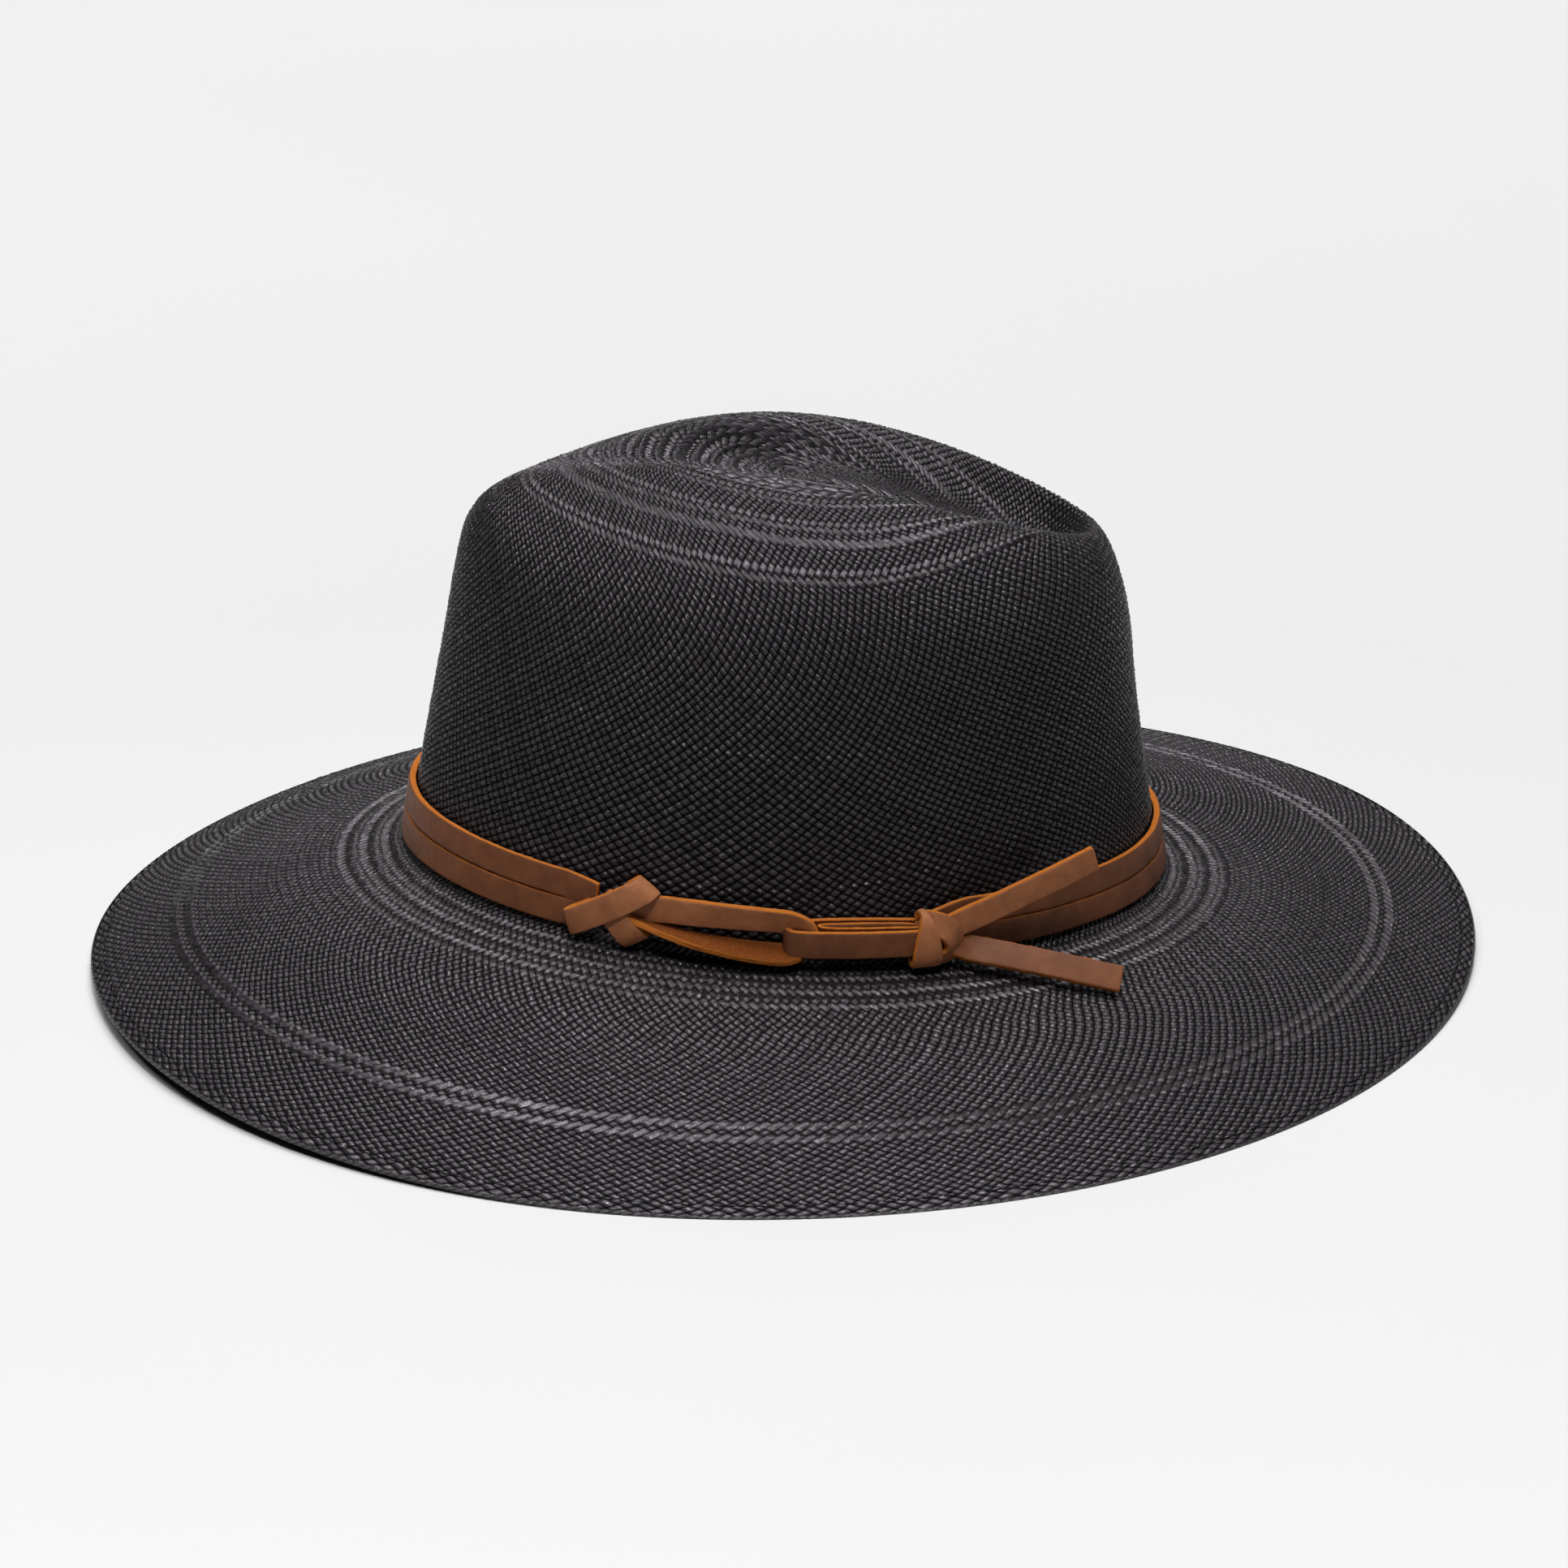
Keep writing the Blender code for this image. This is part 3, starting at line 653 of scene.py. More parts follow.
def straw_finish():
    """Dyed straw: satin on top of each straw, dull in the grooves, with fine fibres along it. Its colour is
    darkened in the grooves as painted shade.
    """
    look = Finish("straw")
    across, along, number = look.split(look.attribute("straw", "Vector"))
    rise = look.attribute("rise")
    fibre_place = look.join(
        look.math("MULTIPLY_ADD", number, 97.0, look.math("MULTIPLY", across, 7.0)),
        look.math("MULTIPLY", along, 0.5),
        look.math("MULTIPLY", number, 37.0),
    )
    fibres = look.noise(fibre_place, 1.0, 3.0, 0.62)
    straw_tone = look.node("ShaderNodeTexWhiteNoise", {"noise_dimensions": "1D"}, W=number).outputs["Value"]
    tile = look.join(number, look.math("FLOOR", along), 0.5)
    tile_tone = look.node("ShaderNodeTexWhiteNoise", {"noise_dimensions": "3D"}, Vector=tile).outputs["Value"]
    level = look.scale_range(straw_tone, 0.0, 1.0, 0.7, 1.35)
    level = look.math("MULTIPLY", level, look.spread(fibres, 0.5, 1.5))
    level = look.math("MULTIPLY", level, look.scale_range(tile_tone, 0.0, 1.0, 0.7, 1.35))
    # Painted shade: the colour darkens towards the floor of each groove.
    level = look.math("MULTIPLY", level, look.scale_range(rise, 0.05, 0.75, 0.12, 1.0))
    colour = look.mix(look.scale_range(level, 0.0, 1.6, 0.0, 1.0), DARK_STRAW_AND_GROOVE_SHADE, STRAW_COLOUR)
    roughness = look.scale_range(rise, 0.2, 0.9, 0.75, 0.20)
    roughness = look.math("ADD", roughness, look.spread(fibres, 0.09, -0.07))
    roughness = look.math("ADD", roughness, look.scale_range(tile_tone, 0.0, 1.0, -0.09, 0.14))
    normal = look.bump(fibres, 0.30 * MM, 1.0)
    return look.surface(
        Base_Color=colour,
        Roughness=roughness,
        Specular_IOR_Level=look.scale_range(rise, 0.15, 0.85, 0.02, 0.85),
        Specular_Tint=STRAW_SHINE,
        Normal=normal,
    )


def make_woven_body():
    """Crown and brim in ring-shaped pieces of weave, with their linings and the rolled edge of the brim."""
    finish = straw_finish()
    crown_weave = Weave(crown_sheet, CROWN_ZONES, CROWN_CHEVRONS, None, crown_twist, crown_sag)
    spacing = (BRIM_ROW_SHARES, BRIM_ROW_SPACINGS)
    brim_weave = Weave(brim_sheet, BRIM_ZONES, BRIM_CHEVRONS, spacing, brim_twist)
    lining = {"lines": LINING_LINES, "across_heights": LINING_HEIGHTS, "flip": True}
    top_zones = range(len(CROWN_ZONES) - 1)

    top = [crown_weave.patch(zone, *crown_weave.rows_in(zone)) for zone in top_zones]
    add_straw("crown_top", top, finish, ("woven_body",))
    top = [crown_weave.patch(zone, *crown_weave.rows_in(zone), **lining) for zone in top_zones]
    add_straw("crown_top_inside", top, finish)

    for name, weave, zone, bands in (
        ("crown_wall", crown_weave, len(CROWN_ZONES) - 1, 4),
        ("brim", brim_weave, 0, 4),
        ("brim_border", brim_weave, 1, 1),
    ):
        low, high = weave.rows_in(zone)
        stops = np.linspace(low, high, bands + 1).round().astype(int)
        for index, (first, last) in enumerate(zip(stops[:-1], stops[1:])):
            add_straw(f"{name}_{index + 1}", [weave.patch(zone, first, last)], finish)
        add_straw(f"{name}_inside", [weave.patch(zone, low, high, **lining)], finish)
    make_crown_middle("crown_middle", 0.05 * MM, finish)
    make_crown_middle("crown_middle_inside", -STRAW_THICKNESS - 0.05 * MM, finish)
    make_brim_edge(finish)


def make_crown_middle(name, height, finish):
    """A small knot of straw that closes the hole in the middle of the weave."""
    turns = np.linspace(0.0, 2 * math.pi, MIDDLE_STEPS + 1)[:-1]
    shares, angles = np.meshgrid(MIDDLE_SHARES, turns, indexing="ij")
    points, normals = crown_sheet.at(angles, shares)
    lifts = height - np.array(MIDDLE_DROPS)[:, None] * np.sign(height + STRAW_THICKNESS / 2)
    points = (points + normals * lifts[..., None]).reshape(-1, 3)
    quads = ring_quads(len(MIDDLE_SHARES), MIDDLE_STEPS)
    corner = points[quads]
    upward = np.cross(corner[:, 1] - corner[:, 0], corner[:, 2] - corner[:, 1])[:, 2].sum() > 0
    quads = quads if upward == (height > -STRAW_THICKNESS / 2) else quads[:, ::-1]
    mesh = mesh_of(name, points, quads, {"rise": np.full(len(points), 0.6)})
    add_piece(name, mesh, finish, "hat")


def make_brim_edge(finish):
    """The rolled rim that closes the brim's edge, wrapped by slanting straws."""
    angles = np.linspace(0.0, 2 * math.pi, RIM_STEPS, endpoint=False)
    ends = np.ones(RIM_STEPS)
    points, normals = brim_sheet.at(angles + brim_twist(angles, ends), ends)
    around = np.roll(points, -1, axis=0) - np.roll(points, 1, axis=0)
    outwards = np.cross(around, normals)
    outwards /= np.linalg.norm(outwards, axis=1, keepdims=True)
    radius = STRAW_THICKNESS / 2
    rings, rises = [], []
    for turn in np.linspace(-0.15, math.pi + 0.15, RIM_FACETS):
        wrap = np.abs(np.sin(RIM_WRAPS / 2 * angles + 1.3 * turn)) ** 0.6
        reach = radius + (wrap - 0.8) * RIM_RELIEF
        middle = points - normals * radius
        ring = middle + (normals * math.cos(turn) + outwards * math.sin(turn)) * reach[:, None]
        ring[:, 2] = np.maximum(ring[:, 2], 0.0)
        rings.append(ring)
        rises.append(wrap)
    quads = ring_quads(RIM_FACETS, RIM_STEPS)
    across, along = np.meshgrid(np.linspace(0, 3, RIM_FACETS), angles * RIM_WRAPS / 6, indexing="ij")
    place = np.stack([across, along, np.full(along.shape, 0.37)], axis=-1).reshape(-1, 3)
    # The wraps' rise darkens the straw's colour between them, as painted shade.
    facts = {"rise": np.concatenate(rises)}
    mesh = mesh_of("brim_edge", np.concatenate(rings), quads, facts, {"straw": place[quads.reshape(-1)]})
    add_piece("brim_edge", mesh, finish, "hat")


def outward_at(degrees):
    """Level directions straight out from the crown's foot, at these angles in degrees."""
    angles = np.radians(degrees)
    across, along = np.sin(angles) / CROWN_RINGS[0][0], -np.cos(angles) / CROWN_RINGS[0][3]
    away = np.stack([across, along, np.zeros_like(angles)], axis=-1)
    return away / np.linalg.norm(away, axis=-1, keepdims=True)


def on_wall(degrees, heights, standoffs):
    """Points beside the crown's wall, at heights above its foot and so far out from it, or in if negative."""
    places = (np.asarray(values, float) for values in (degrees, heights, standoffs))
    degrees, heights, standoffs = np.broadcast_arrays(*places)
    angles = np.radians(degrees)
    foot = crown_ring(0, angles)
    low, high = np.zeros(angles.shape), np.full(angles.shape, 0.5)
    for _ in range(26):
        middle = (low + high) / 2
        below = crown_points(angles, middle)[..., 2] - foot[..., 2] < heights
        low, high = np.where(below, middle, low), np.where(below, high, middle)
    points = crown_points(angles, low)
    points[..., 2] = foot[..., 2] + heights
    return points + outward_at(degrees) * standoffs[..., None]


def beside(degrees, places):
    """World places for (along, up, out) in millimetres from the crown's foot at an angle."""
    places = np.asarray(places, float)
    angle = math.radians(degrees)
    half_width, half_length = CROWN_RINGS[0][0], CROWN_RINGS[0][3]
    per_radian = math.hypot(half_width * math.cos(angle), half_length * math.sin(angle))
    return on_wall(degrees + np.degrees(places[:, 0] / per_radian), places[:, 1] * MM, places[:, 2] * MM)


def turned(degrees, directions):
    """World directions for (along, up, out) at angles in degrees."""
    directions = np.atleast_2d(np.asarray(directions, float))
    out = np.broadcast_to(outward_at(degrees), directions.shape)
    up = np.broadcast_to(UP, directions.shape)
    along = np.cross(up, out)
    return directions[:, :1] * along + directions[:, 1:2] * up + directions[:, 2:] * out


def smooth_line(rows):
    """Curve through rows of numbers, whose first three are a place, in steps of about LACE_STEP."""
    rows = np.asarray(rows, float)
    padded = np.concatenate([2 * rows[:1] - rows[1:2], rows, 2 * rows[-1:] - rows[-2:-1]])
    made = []
    for index, length in enumerate(np.linalg.norm(np.diff(rows[:, :3], axis=0), axis=1)):
        count = max(1, round(length / LACE_STEP))
        t = np.arange(count)[:, None] / count
        before, first, second, after = padded[index : index + 4]
        slope = 0.5 * (second - before)
        curve = 0.5 * (2 * before - 5 * first + 4 * second - after)
        turn = 0.5 * (3 * first - before - 3 * second + after)
        made.append(first + t * slope + t**2 * curve + t**3 * turn)
    return np.concatenate(made + [rows[-1:]])


def strap_section(width, thickness, corner):
    """Round of (across, through, raw, flesh) for one cross-section, from the middle of its left edge."""
    w, t = width / 2, thickness / 2
    side = [(-w, v, 1.0, 0.0) for v in np.linspace(0.12, 1.0, 3) * (t - corner)]
    arc = []
    for turn in (35.0, 68.0):
        swing = math.radians(turn)
        across, through = corner - w - corner * math.cos(swing), t - corner + corner * math.sin(swing)
        arc.append((across, through, 0.85 - turn / 100, 0.0))
    face = []
    for u in np.linspace(-1.0, 1.0, 11):
        face.append((u * (w - corner), t + LACE_CROWNING * (1.0 - u * u), 0.0, 0.0))
    upper = side + arc + face + [(-u, v, raw, flesh) for u, v, raw, flesh in reversed(side + arc)]
    lower = [(u, -v, raw, 1.0 if raw < 1.0 else 0.0) for u, v, raw, flesh in reversed(upper)]
    return np.array(upper + lower)


def strap_mesh(line, seed, width=LACE_WIDTH, thickness=LACE_THICKNESS, corner=LACE_CORNER):
    """Closed strap of leather along rows of place, direction across it and width as a share of its own.

    Its grain side faces along the cross product of its heading and the direction across.
    """
    centres, across, shares = line[:, :3], line[:, 3:6].copy(), line[:, 6]
    heading = np.gradient(centres, axis=0)
    heading /= np.linalg.norm(heading, axis=1, keepdims=True)
    across /= np.linalg.norm(across, axis=1, keepdims=True)
    grain = np.cross(heading, across)
    lean = np.linalg.norm(grain, axis=1)
    grain /= lean[:, None]
    section = strap_section(width, thickness, corner)
    draws = np.random.default_rng(SEED + seed)
    waver = draws.normal(size=(len(line), len(section), 2))
    for _ in range(2):
        waver[1:-1] = (waver[:-2] + waver[1:-1] + waver[2:]) / 3
    rough = RAW_ROUGHNESS * section[:, 2] + GRAIN_WAVER
    u = section[:, 0] * (shares / lean)[:, None] + waver[..., 0] * rough
    v = section[:, 1] + waver[..., 1] * rough
    v = v + draws_wave(draws, len(line)) * LACE_WAVE
    rings = centres[:, None] + u[..., None] * across[:, None] + v[..., None] * grain[:, None]
    raw = np.broadcast_to(section[:, 2], rings.shape[:2]).copy()
    flesh = np.broadcast_to(section[:, 3], rings.shape[:2]).copy()
    ends = []
    for end, sign in ((0, -1.0), (-1, 1.0)):
        middle = rings[end].mean(axis=0)
        ends.append(middle + (rings[end] - middle) * END_SHRINK + heading[end] * sign * END_BEVEL)
    rings = np.concatenate([ends[0][None], rings, ends[1][None]])
    raw = np.concatenate([np.ones((1, len(section))), raw, np.ones((1, len(section)))])
    flesh = np.concatenate([np.zeros((1, len(section))), flesh, np.zeros((1, len(section)))])
    count, around = rings.shape[:2]
    half = np.arange(around // 2 - 1)
    near = np.stack([half, around - 1 - half, around - 2 - half, half + 1], axis=-1)
    far = near[:, ::-1] + (count - 1) * around
    quads = np.concatenate([ring_quads(count, around), near, far])
    points = rings.reshape(-1, 3)
    quads = outward_quads(points - points.mean(axis=0), quads)
    lengths = np.concatenate([[0.0], np.linalg.norm(np.diff(centres, axis=0), axis=1).cumsum()])
    lengths = np.concatenate([[0.0], lengths, lengths[-1:]])
    along = np.broadcast_to(lengths[:, None], (count, around)).reshape(-1)
    place = np.broadcast_to(section[:, 0], (count, around)).reshape(-1)
    facts = {"raw": raw.reshape(-1), "flesh": flesh.reshape(-1), "along": along, "across": place}
    return {"points": points, "quads": quads, "facts": facts}


def draws_wave(draws, count):
    """Slow unevenness along a strap, one number a station."""
    knots = draws.normal(size=max(4, count // 12))
    return np.interp(np.linspace(0, 1, count), np.linspace(0, 1, len(knots)), knots)[:, None]


def add_strap(name, straps, finish, body, replaced):
    """One piece from one or more straps."""
    facts = {key: np.concatenate([strap["facts"][key] for strap in straps]) for key in straps[0]["facts"]}
    mesh = mesh_of(name, *joined(straps), facts)
    return add_piece(name, mesh, finish, body, replaced)


def local_line(degrees, stations):
    """Smooth rows from stations of (along, up, out) in mm, direction across and share of the width.

    The last numbers that a station leaves out are those of STRAIGHT_UP.
    """
    stations = np.array([station + STRAIGHT_UP[len(station) - 3 :] for station in stations], float)
    places, directions = beside(degrees, stations[:, :3]), turned(degrees, stations[:, 3:6])
    return smooth_line(np.concatenate([places, directions, stations[:, 6:]], axis=1))


def strand(name, bottom, finish):
    """One turn of the lace round the crown, whose ends close up as they go into the two knots."""
    middle = bottom + LACE_WIDTH / 2
    degrees = np.linspace(STRAND_START - STRAND_TUCK, STRAND_END + STRAND_TUCK, STRAND_STEPS)
    reach = STRAND_TUCK + STRAND_CLOSING
    into_right = np.clip((STRAND_START + STRAND_CLOSING - degrees) / reach, 0.0, 1.0) ** 1.5
    into_left = np.clip((degrees - STRAND_END + STRAND_CLOSING) / reach, 0.0, 1.0) ** 1.5
    heights = middle + (RIGHT_KNOT_HEIGHT - middle) * RIGHT_KNOT_PULL * into_right
    heights = heights + (LEFT_KNOT_HEIGHT - middle) * LEFT_KNOT_PULL * into_left
    for size, waves, start in STRAND_WAVES:
        heights = heights + size * np.sin(np.radians(degrees) * waves + start)
    standoffs = GAP + LACE_THICKNESS / 2 + STRAND_LIFT * np.maximum(into_right, into_left)
    centres = on_wall(degrees, heights, standoffs)
    across = on_wall(degrees, heights + MM, standoffs) - centres
    line = np.concatenate([centres, across, np.ones((len(degrees), 1))], axis=1)
    strap = strap_mesh(line, seed=int(bottom / MM))
    add_strap(f"{name}_leather", [strap], finish, "tie_band", (name,))


def make_left_knot(finish):
    """The lace crosses over itself: a slanting wrap, and the strap that comes out below it."""
    wrap = local_line(LEFT_KNOT_ANGLE, [
        (-5.5, 6.0, 2.1, -0.30, 0.95),
        (-8.3, 4.2, 2.2, -0.30, 0.95),
        (-10.3, 3.0, 2.9, -0.28, 0.96),
        (-10.9, 2.7, 4.0, -0.28, 0.96),
        (-9.9, 3.4, 5.1, -0.32, 0.95),
        (-6.5, 5.6, 5.8, -0.42, 0.90, 0, 1.02),
        (-1.0, 9.2, 6.2, -0.52, 0.85, 0, 1.03),
        (3.4, 12.2, 6.0, -0.60, 0.80, 0, 1.02),
        (6.4, 14.2, 5.2, -0.70, 0.70),
        (7.7, 15.1, 4.0, -0.76, 0.64),
        (7.9, 15.2, 2.8, -0.78, 0.62),
        (6.9, 14.4, 1.6, -0.78, 0.62, 0, 0.95),
        (4.8, 12.8, 1.2, -0.76, 0.64, 0, 0.9),
    ])
    under = local_line(LEFT_KNOT_ANGLE, [
        (-3.4, 10.2, 3.6, 0.66, 0.75),
        (-1.0, 8.0, 4.0, 0.68, 0.73),
        (2.0, 5.2, 4.7, 0.70, 0.71),
        (4.4, 3.0, 4.9, 0.76, 0.64),
        (5.9, 1.7, 4.4, 0.84, 0.54),
        (6.5, 1.1, 3.3, 0.88, 0.46),
        (6.1, 1.5, 2.2, 0.88, 0.46, 0, 0.95),
        (4.4, 3.2, 1.5, 0.84, 0.5, 0, 0.9),
    ])
    straps = [strap_mesh(wrap, seed=31), strap_mesh(under, seed=32)]
    add_strap("left_knot_straps", straps, finish, "tie_band", ("left_knot",))


def make_right_knot(finish):
    """A narrow fold over the folded strip's end, and the strap that rolls round behind it."""
    shield = local_line(RIGHT_KNOT_ANGLE, [
        (-3.3, 11.3, 3.6, 1.0, 0.1, -0.2, 0.30),
        (-3.3, 12.9, 4.9, 1.0, 0.1, -0.2, 0.26),
        (-3.1, 12.6, 6.7, 1.0, 0.0, -0.2, 0.34),
        (-3.0, 10.6, 8.1, 1.0, -0.05, -0.1, 0.55),
        (-3.0, 7.4, 8.9, 1.0, -0.05, 0.0, 0.85),
        (-3.0, 3.9, 9.1, 1.0, -0.05, 0.0, 1.08),
        (-3.0, 1.2, 8.6, 1.0, -0.05, 0.0, 1.16),
        (-3.0, -0.1, 7.2, 1.0, -0.05, 0.0, 1.15),
        (-3.0, 0.2, 5.4, 1.0, -0.05, 0.0, 1.1),
        (-3.0, 1.6, 4.2, 1.0, -0.05, 0.0),
    ])
    roll = local_line(RIGHT_KNOT_ANGLE, [
        (-3.4, 10.0, 3.4, 0.25, 0.95, 0.1, 0.7),
        (-2.0, 10.9, 5.6, 0.30, 0.93, 0.1, 0.8),
        (0.6, 10.4, 7.6, 0.50, 0.84, -0.1, 0.9),
        (3.2, 8.6, 8.1, 0.80, 0.52, -0.35, 0.95),
        (4.6, 6.0, 7.6, 0.86, 0.28, -0.45, 0.95),
        (4.6, 3.6, 6.9, 0.88, -0.05, -0.45, 0.95),
        (3.2, 1.6, 6.2, 0.80, -0.40, -0.4, 0.9),
        (1.0, 0.9, 5.2, 0.60, -0.70, -0.3, 0.8),
    ])
    straps = [strap_mesh(shield, seed=41), strap_mesh(roll, seed=42)]
    add_strap("right_knot_straps", straps, finish, "tie_band", ("right_knot",))


def make_loop(finish):
    """The open loop between the knots. Its upper run ends bent down behind the folded strip."""
    upper = local_line(LEFT_KNOT_ANGLE, [
        (1.0, 7.6, 2.0, -0.05, 1),
        (6.0, 8.8, 2.3, -0.03, 1),
        (12.0, 9.6, 2.3),
        (20.0, 10.1, 3.0, 0, 1, 0.08),
        (30.0, 10.4, 3.7, 0, 1, 0.2, 0.97),
        (39.0, 10.5, 4.2, 0.02, 1, 0.28, 0.93),
        (43.0, 10.1, 4.3, 0.20, 1, 0.24, 0.90),
        (46.0, 8.8, 4.3, 0.65, 0.75, 0.1, 0.82),
        (47.4, 6.4, 4.2, 0.97, 0.25, 0, 0.7),
        (47.6, 4.0, 4.2, 1, 0, 0, 0.62),
    ])
    lower = local_line(LEFT_KNOT_ANGLE, [
        (5.0, 5.8, 2.6, 0, 0.30, 0.95, 0.95),
        (9.0, 5.2, 3.2, 0, 0.26, 0.97, 0.95),
        (13.0, 4.5, 3.7, 0, 0.16, 0.98),
        (20.0, 3.4, 4.2, 0, 0.0, 1.0),
        (28.0, 2.4, 4.4, 0, -0.18, 0.98),
        (36.0, 1.7, 4.5, 0, -0.30, 0.95),
        (42.0, 1.5, 4.4, 0, -0.34, 0.94, 0.97),
        (46.0, 1.9, 4.0, 0, -0.2, 0.97, 0.8),
    ])
    add_strap("upper_run", [strap_mesh(upper, seed=51)], finish, "tie_band", ("loop_upper_run",))
    add_strap("lower_run", [strap_mesh(lower, seed=52)], finish, "tie_band", ("loop_lower_run",))


def make_folded_strip(finish):
    """The strip that folds over and lies back on itself, with two more layers of lace between its own."""
    fold = math.radians(STRIP_FOLD - RIGHT_KNOT_ANGLE) * CROWN_RINGS[0][3]  # mm along from the right knot
    outer = local_line(RIGHT_KNOT_ANGLE, [
        (-3.0, 6.6, 2.0),
        (-9.0, 6.9, 1.7),
        (fold + 12, 7.0, 1.4),
        (fold + 4, 6.6, 1.4),
        (fold, 6.2, 1.7),
        (fold - 1.9, 5.8, 2.7),
        (fold - 2.5, 5.5, 4.0),
        (fold - 1.9, 5.3, 5.4),
        (fold, 5.2, 6.2),
        (fold + 5, 5.2, 6.5),
        (fold + 16, 5.2, 6.4),
        (-7.5, 5.4, 6.7, 0, 1, 0, 0.97),
        (-3.5, 5.8, 6.6, 0, 1, 0, 0.9),
    ])
    inner = local_line(RIGHT_KNOT_ANGLE, [
        (-3.5, 6.0, 3.4, 0, -1, 0, 0.95),
        (-9.0, 6.3, 3.1, 0, -1),
        (fold + 14, 6.4, 3.0, 0, -1),
        (fold + 7.4, 6.2, 3.1, 0, -1),
        (fold + 6.0, 6.1, 3.8, 0, -1),
        (fold + 7.4, 5.9, 4.6, 0, -1),
        (fold + 14, 5.8, 4.8, 0, -1),
        (-9.0, 5.8, 4.9, 0, -1),
        (-3.5, 5.8, 4.9, 0, -1, 0, 0.95),
    ])
    straps = [strap_mesh(outer, seed=61), strap_mesh(inner, thickness=INNER_THICKNESS, seed=62)]
    add_strap("folded_strip", straps, finish, "tie_band", ("fold_back_strip",))


def make_tail(name, place, heading, facing, length, bow, finish):
    """Square-cut end of the lace that comes out of the right knot and bends where it leaves it."""
    shift, height, standoff = place
    axes = turned(RIGHT_KNOT_ANGLE, np.eye(3))
    direction = np.asarray(heading) @ axes
    direction /= np.linalg.norm(direction)
    across = np.cross(np.asarray(facing) @ axes, direction)
    facing_out = np.cross(direction, across)
    facing_out /= np.linalg.norm(facing_out)
    root = on_wall(RIGHT_KNOT_ANGLE + shift, height * MM, standoff * MM)
    inside = beside(RIGHT_KNOT_ANGLE, [(2.6, 6.4 + 0.3 * (height - 6.0), 5.2)])[0]
    rows = [(*inside, *across, 0.9)]
    for share in np.linspace(0.0, 1.0, 6):
        centre = root + direction * length * share + facing_out * bow * 4 * share * (1.0 - share)
        rows.append((*centre, *across, 1.0))
    strap = strap_mesh(smooth_line(rows), seed=int(70 + height))
    made = add_strap(name + "_end_strap", [strap], finish, None, (name + "_tail",))
    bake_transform(made)


def make_lace():
    # Two darker copies paint shade: the shaded one on the strands round the crown, the dark one on the folded
    # strip and the lower tail.
    finish = leather_finish("brown_leather", (1.0, 1.0, 1.0))
    shaded = leather_finish("brown_leather_shaded", (0.46, 0.41, 0.36))
    dark = leather_finish("brown_leather_painted_shade", (0.48, 0.44, 0.40))
    strand("lower_strand", LOWER_STRAND_HEIGHT, shaded)
    strand("upper_strand", UPPER_STRAND_HEIGHT, shaded)
    make_left_knot(finish)
    make_right_knot(finish)
    make_loop(finish)
    make_folded_strip(dark)
    upper_length, lower_length = TAIL_LENGTHS
    make_tail("upper", (4.9, 10.6, 6.4), (1.0, 0.30, 0.0), (0.0, 0.0, 1.0), upper_length, 0.5 * MM, finish)
    make_tail("lower", (5.1, 3.0, 7.2), (0.86, -0.20, 0.42), (0.0, 0.58, 0.80), lower_length, 0.6 * MM, dark)


def leather_finish(name, tone):
    """Brown leather with a smooth grain side, fuzzy raw edges and a suede flesh side."""
    look = Finish(name)
    place = look.place(1.0 / MM)
    fuzz = look.noise(place, 5.0, 4.0, 0.75)
    patches = look.noise(place, 0.16, 3.0, 0.6)
    pores = look.noise(place, 3.2, 3.0, 0.6)
    creases = look.noise(place, 0.8, 4.0, 0.65)
    raw = look.math("ADD", look.attribute("raw"), look.spread(fuzz, -0.3, 0.3))
    raw = look.scale_range(raw, 0.3, 0.6, 0.0, 1.0)
    flesh = look.scale_range(look.attribute("flesh"), 0.4, 0.6, 0.0, 1.0)
    grain_colour = look.mix(look.spread(patches, 0.0, 1.0), GRAIN_DARK, GRAIN_LIGHT)
    grain_colour = look.mix(look.scale_range(pores, 0.35, 0.62, 0.28, 0.0), grain_colour, GRAIN_PORE)
    nap = look.noise(place, 1.6, 4.0, 0.7)
    suede = look.mix(look.spread(nap, 0.0, 1.0), SUEDE_DARK, SUEDE_LIGHT)
    fibre = look.mix(look.spread(fuzz, 0.0, 1.0), RAW_DARK, RAW_LIGHT)
    colour = look.mix(flesh, grain_colour, suede)
    # The tone is painted shade on the darker copies of this finish.
    colour = look.mix(1.0, colour, tone, "MULTIPLY")
    colour = look.mix(raw, colour, fibre)
    rough_side = look.math("MAXIMUM", raw, flesh)
    height = look.math("MULTIPLY_ADD", creases, 0.6, look.math("MULTIPLY", pores, 0.4))
    soft = look.bump(height, 0.05 * MM, 0.6)
    normal = look.bump(look.math("MULTIPLY", fuzz, rough_side), 0.30 * MM, 0.9, soft)
    roughness = look.spread(creases, 0.50, 0.66)
    roughness = look.math("MULTIPLY_ADD", rough_side, 0.4, roughness)
    return look.surface(
        Base_Color=colour,
        Roughness=look.math("MINIMUM", roughness, 0.97),
        Specular_IOR_Level=look.scale_range(rough_side, 0.0, 1.0, 0.22, 0.04),
        Normal=normal,
    )


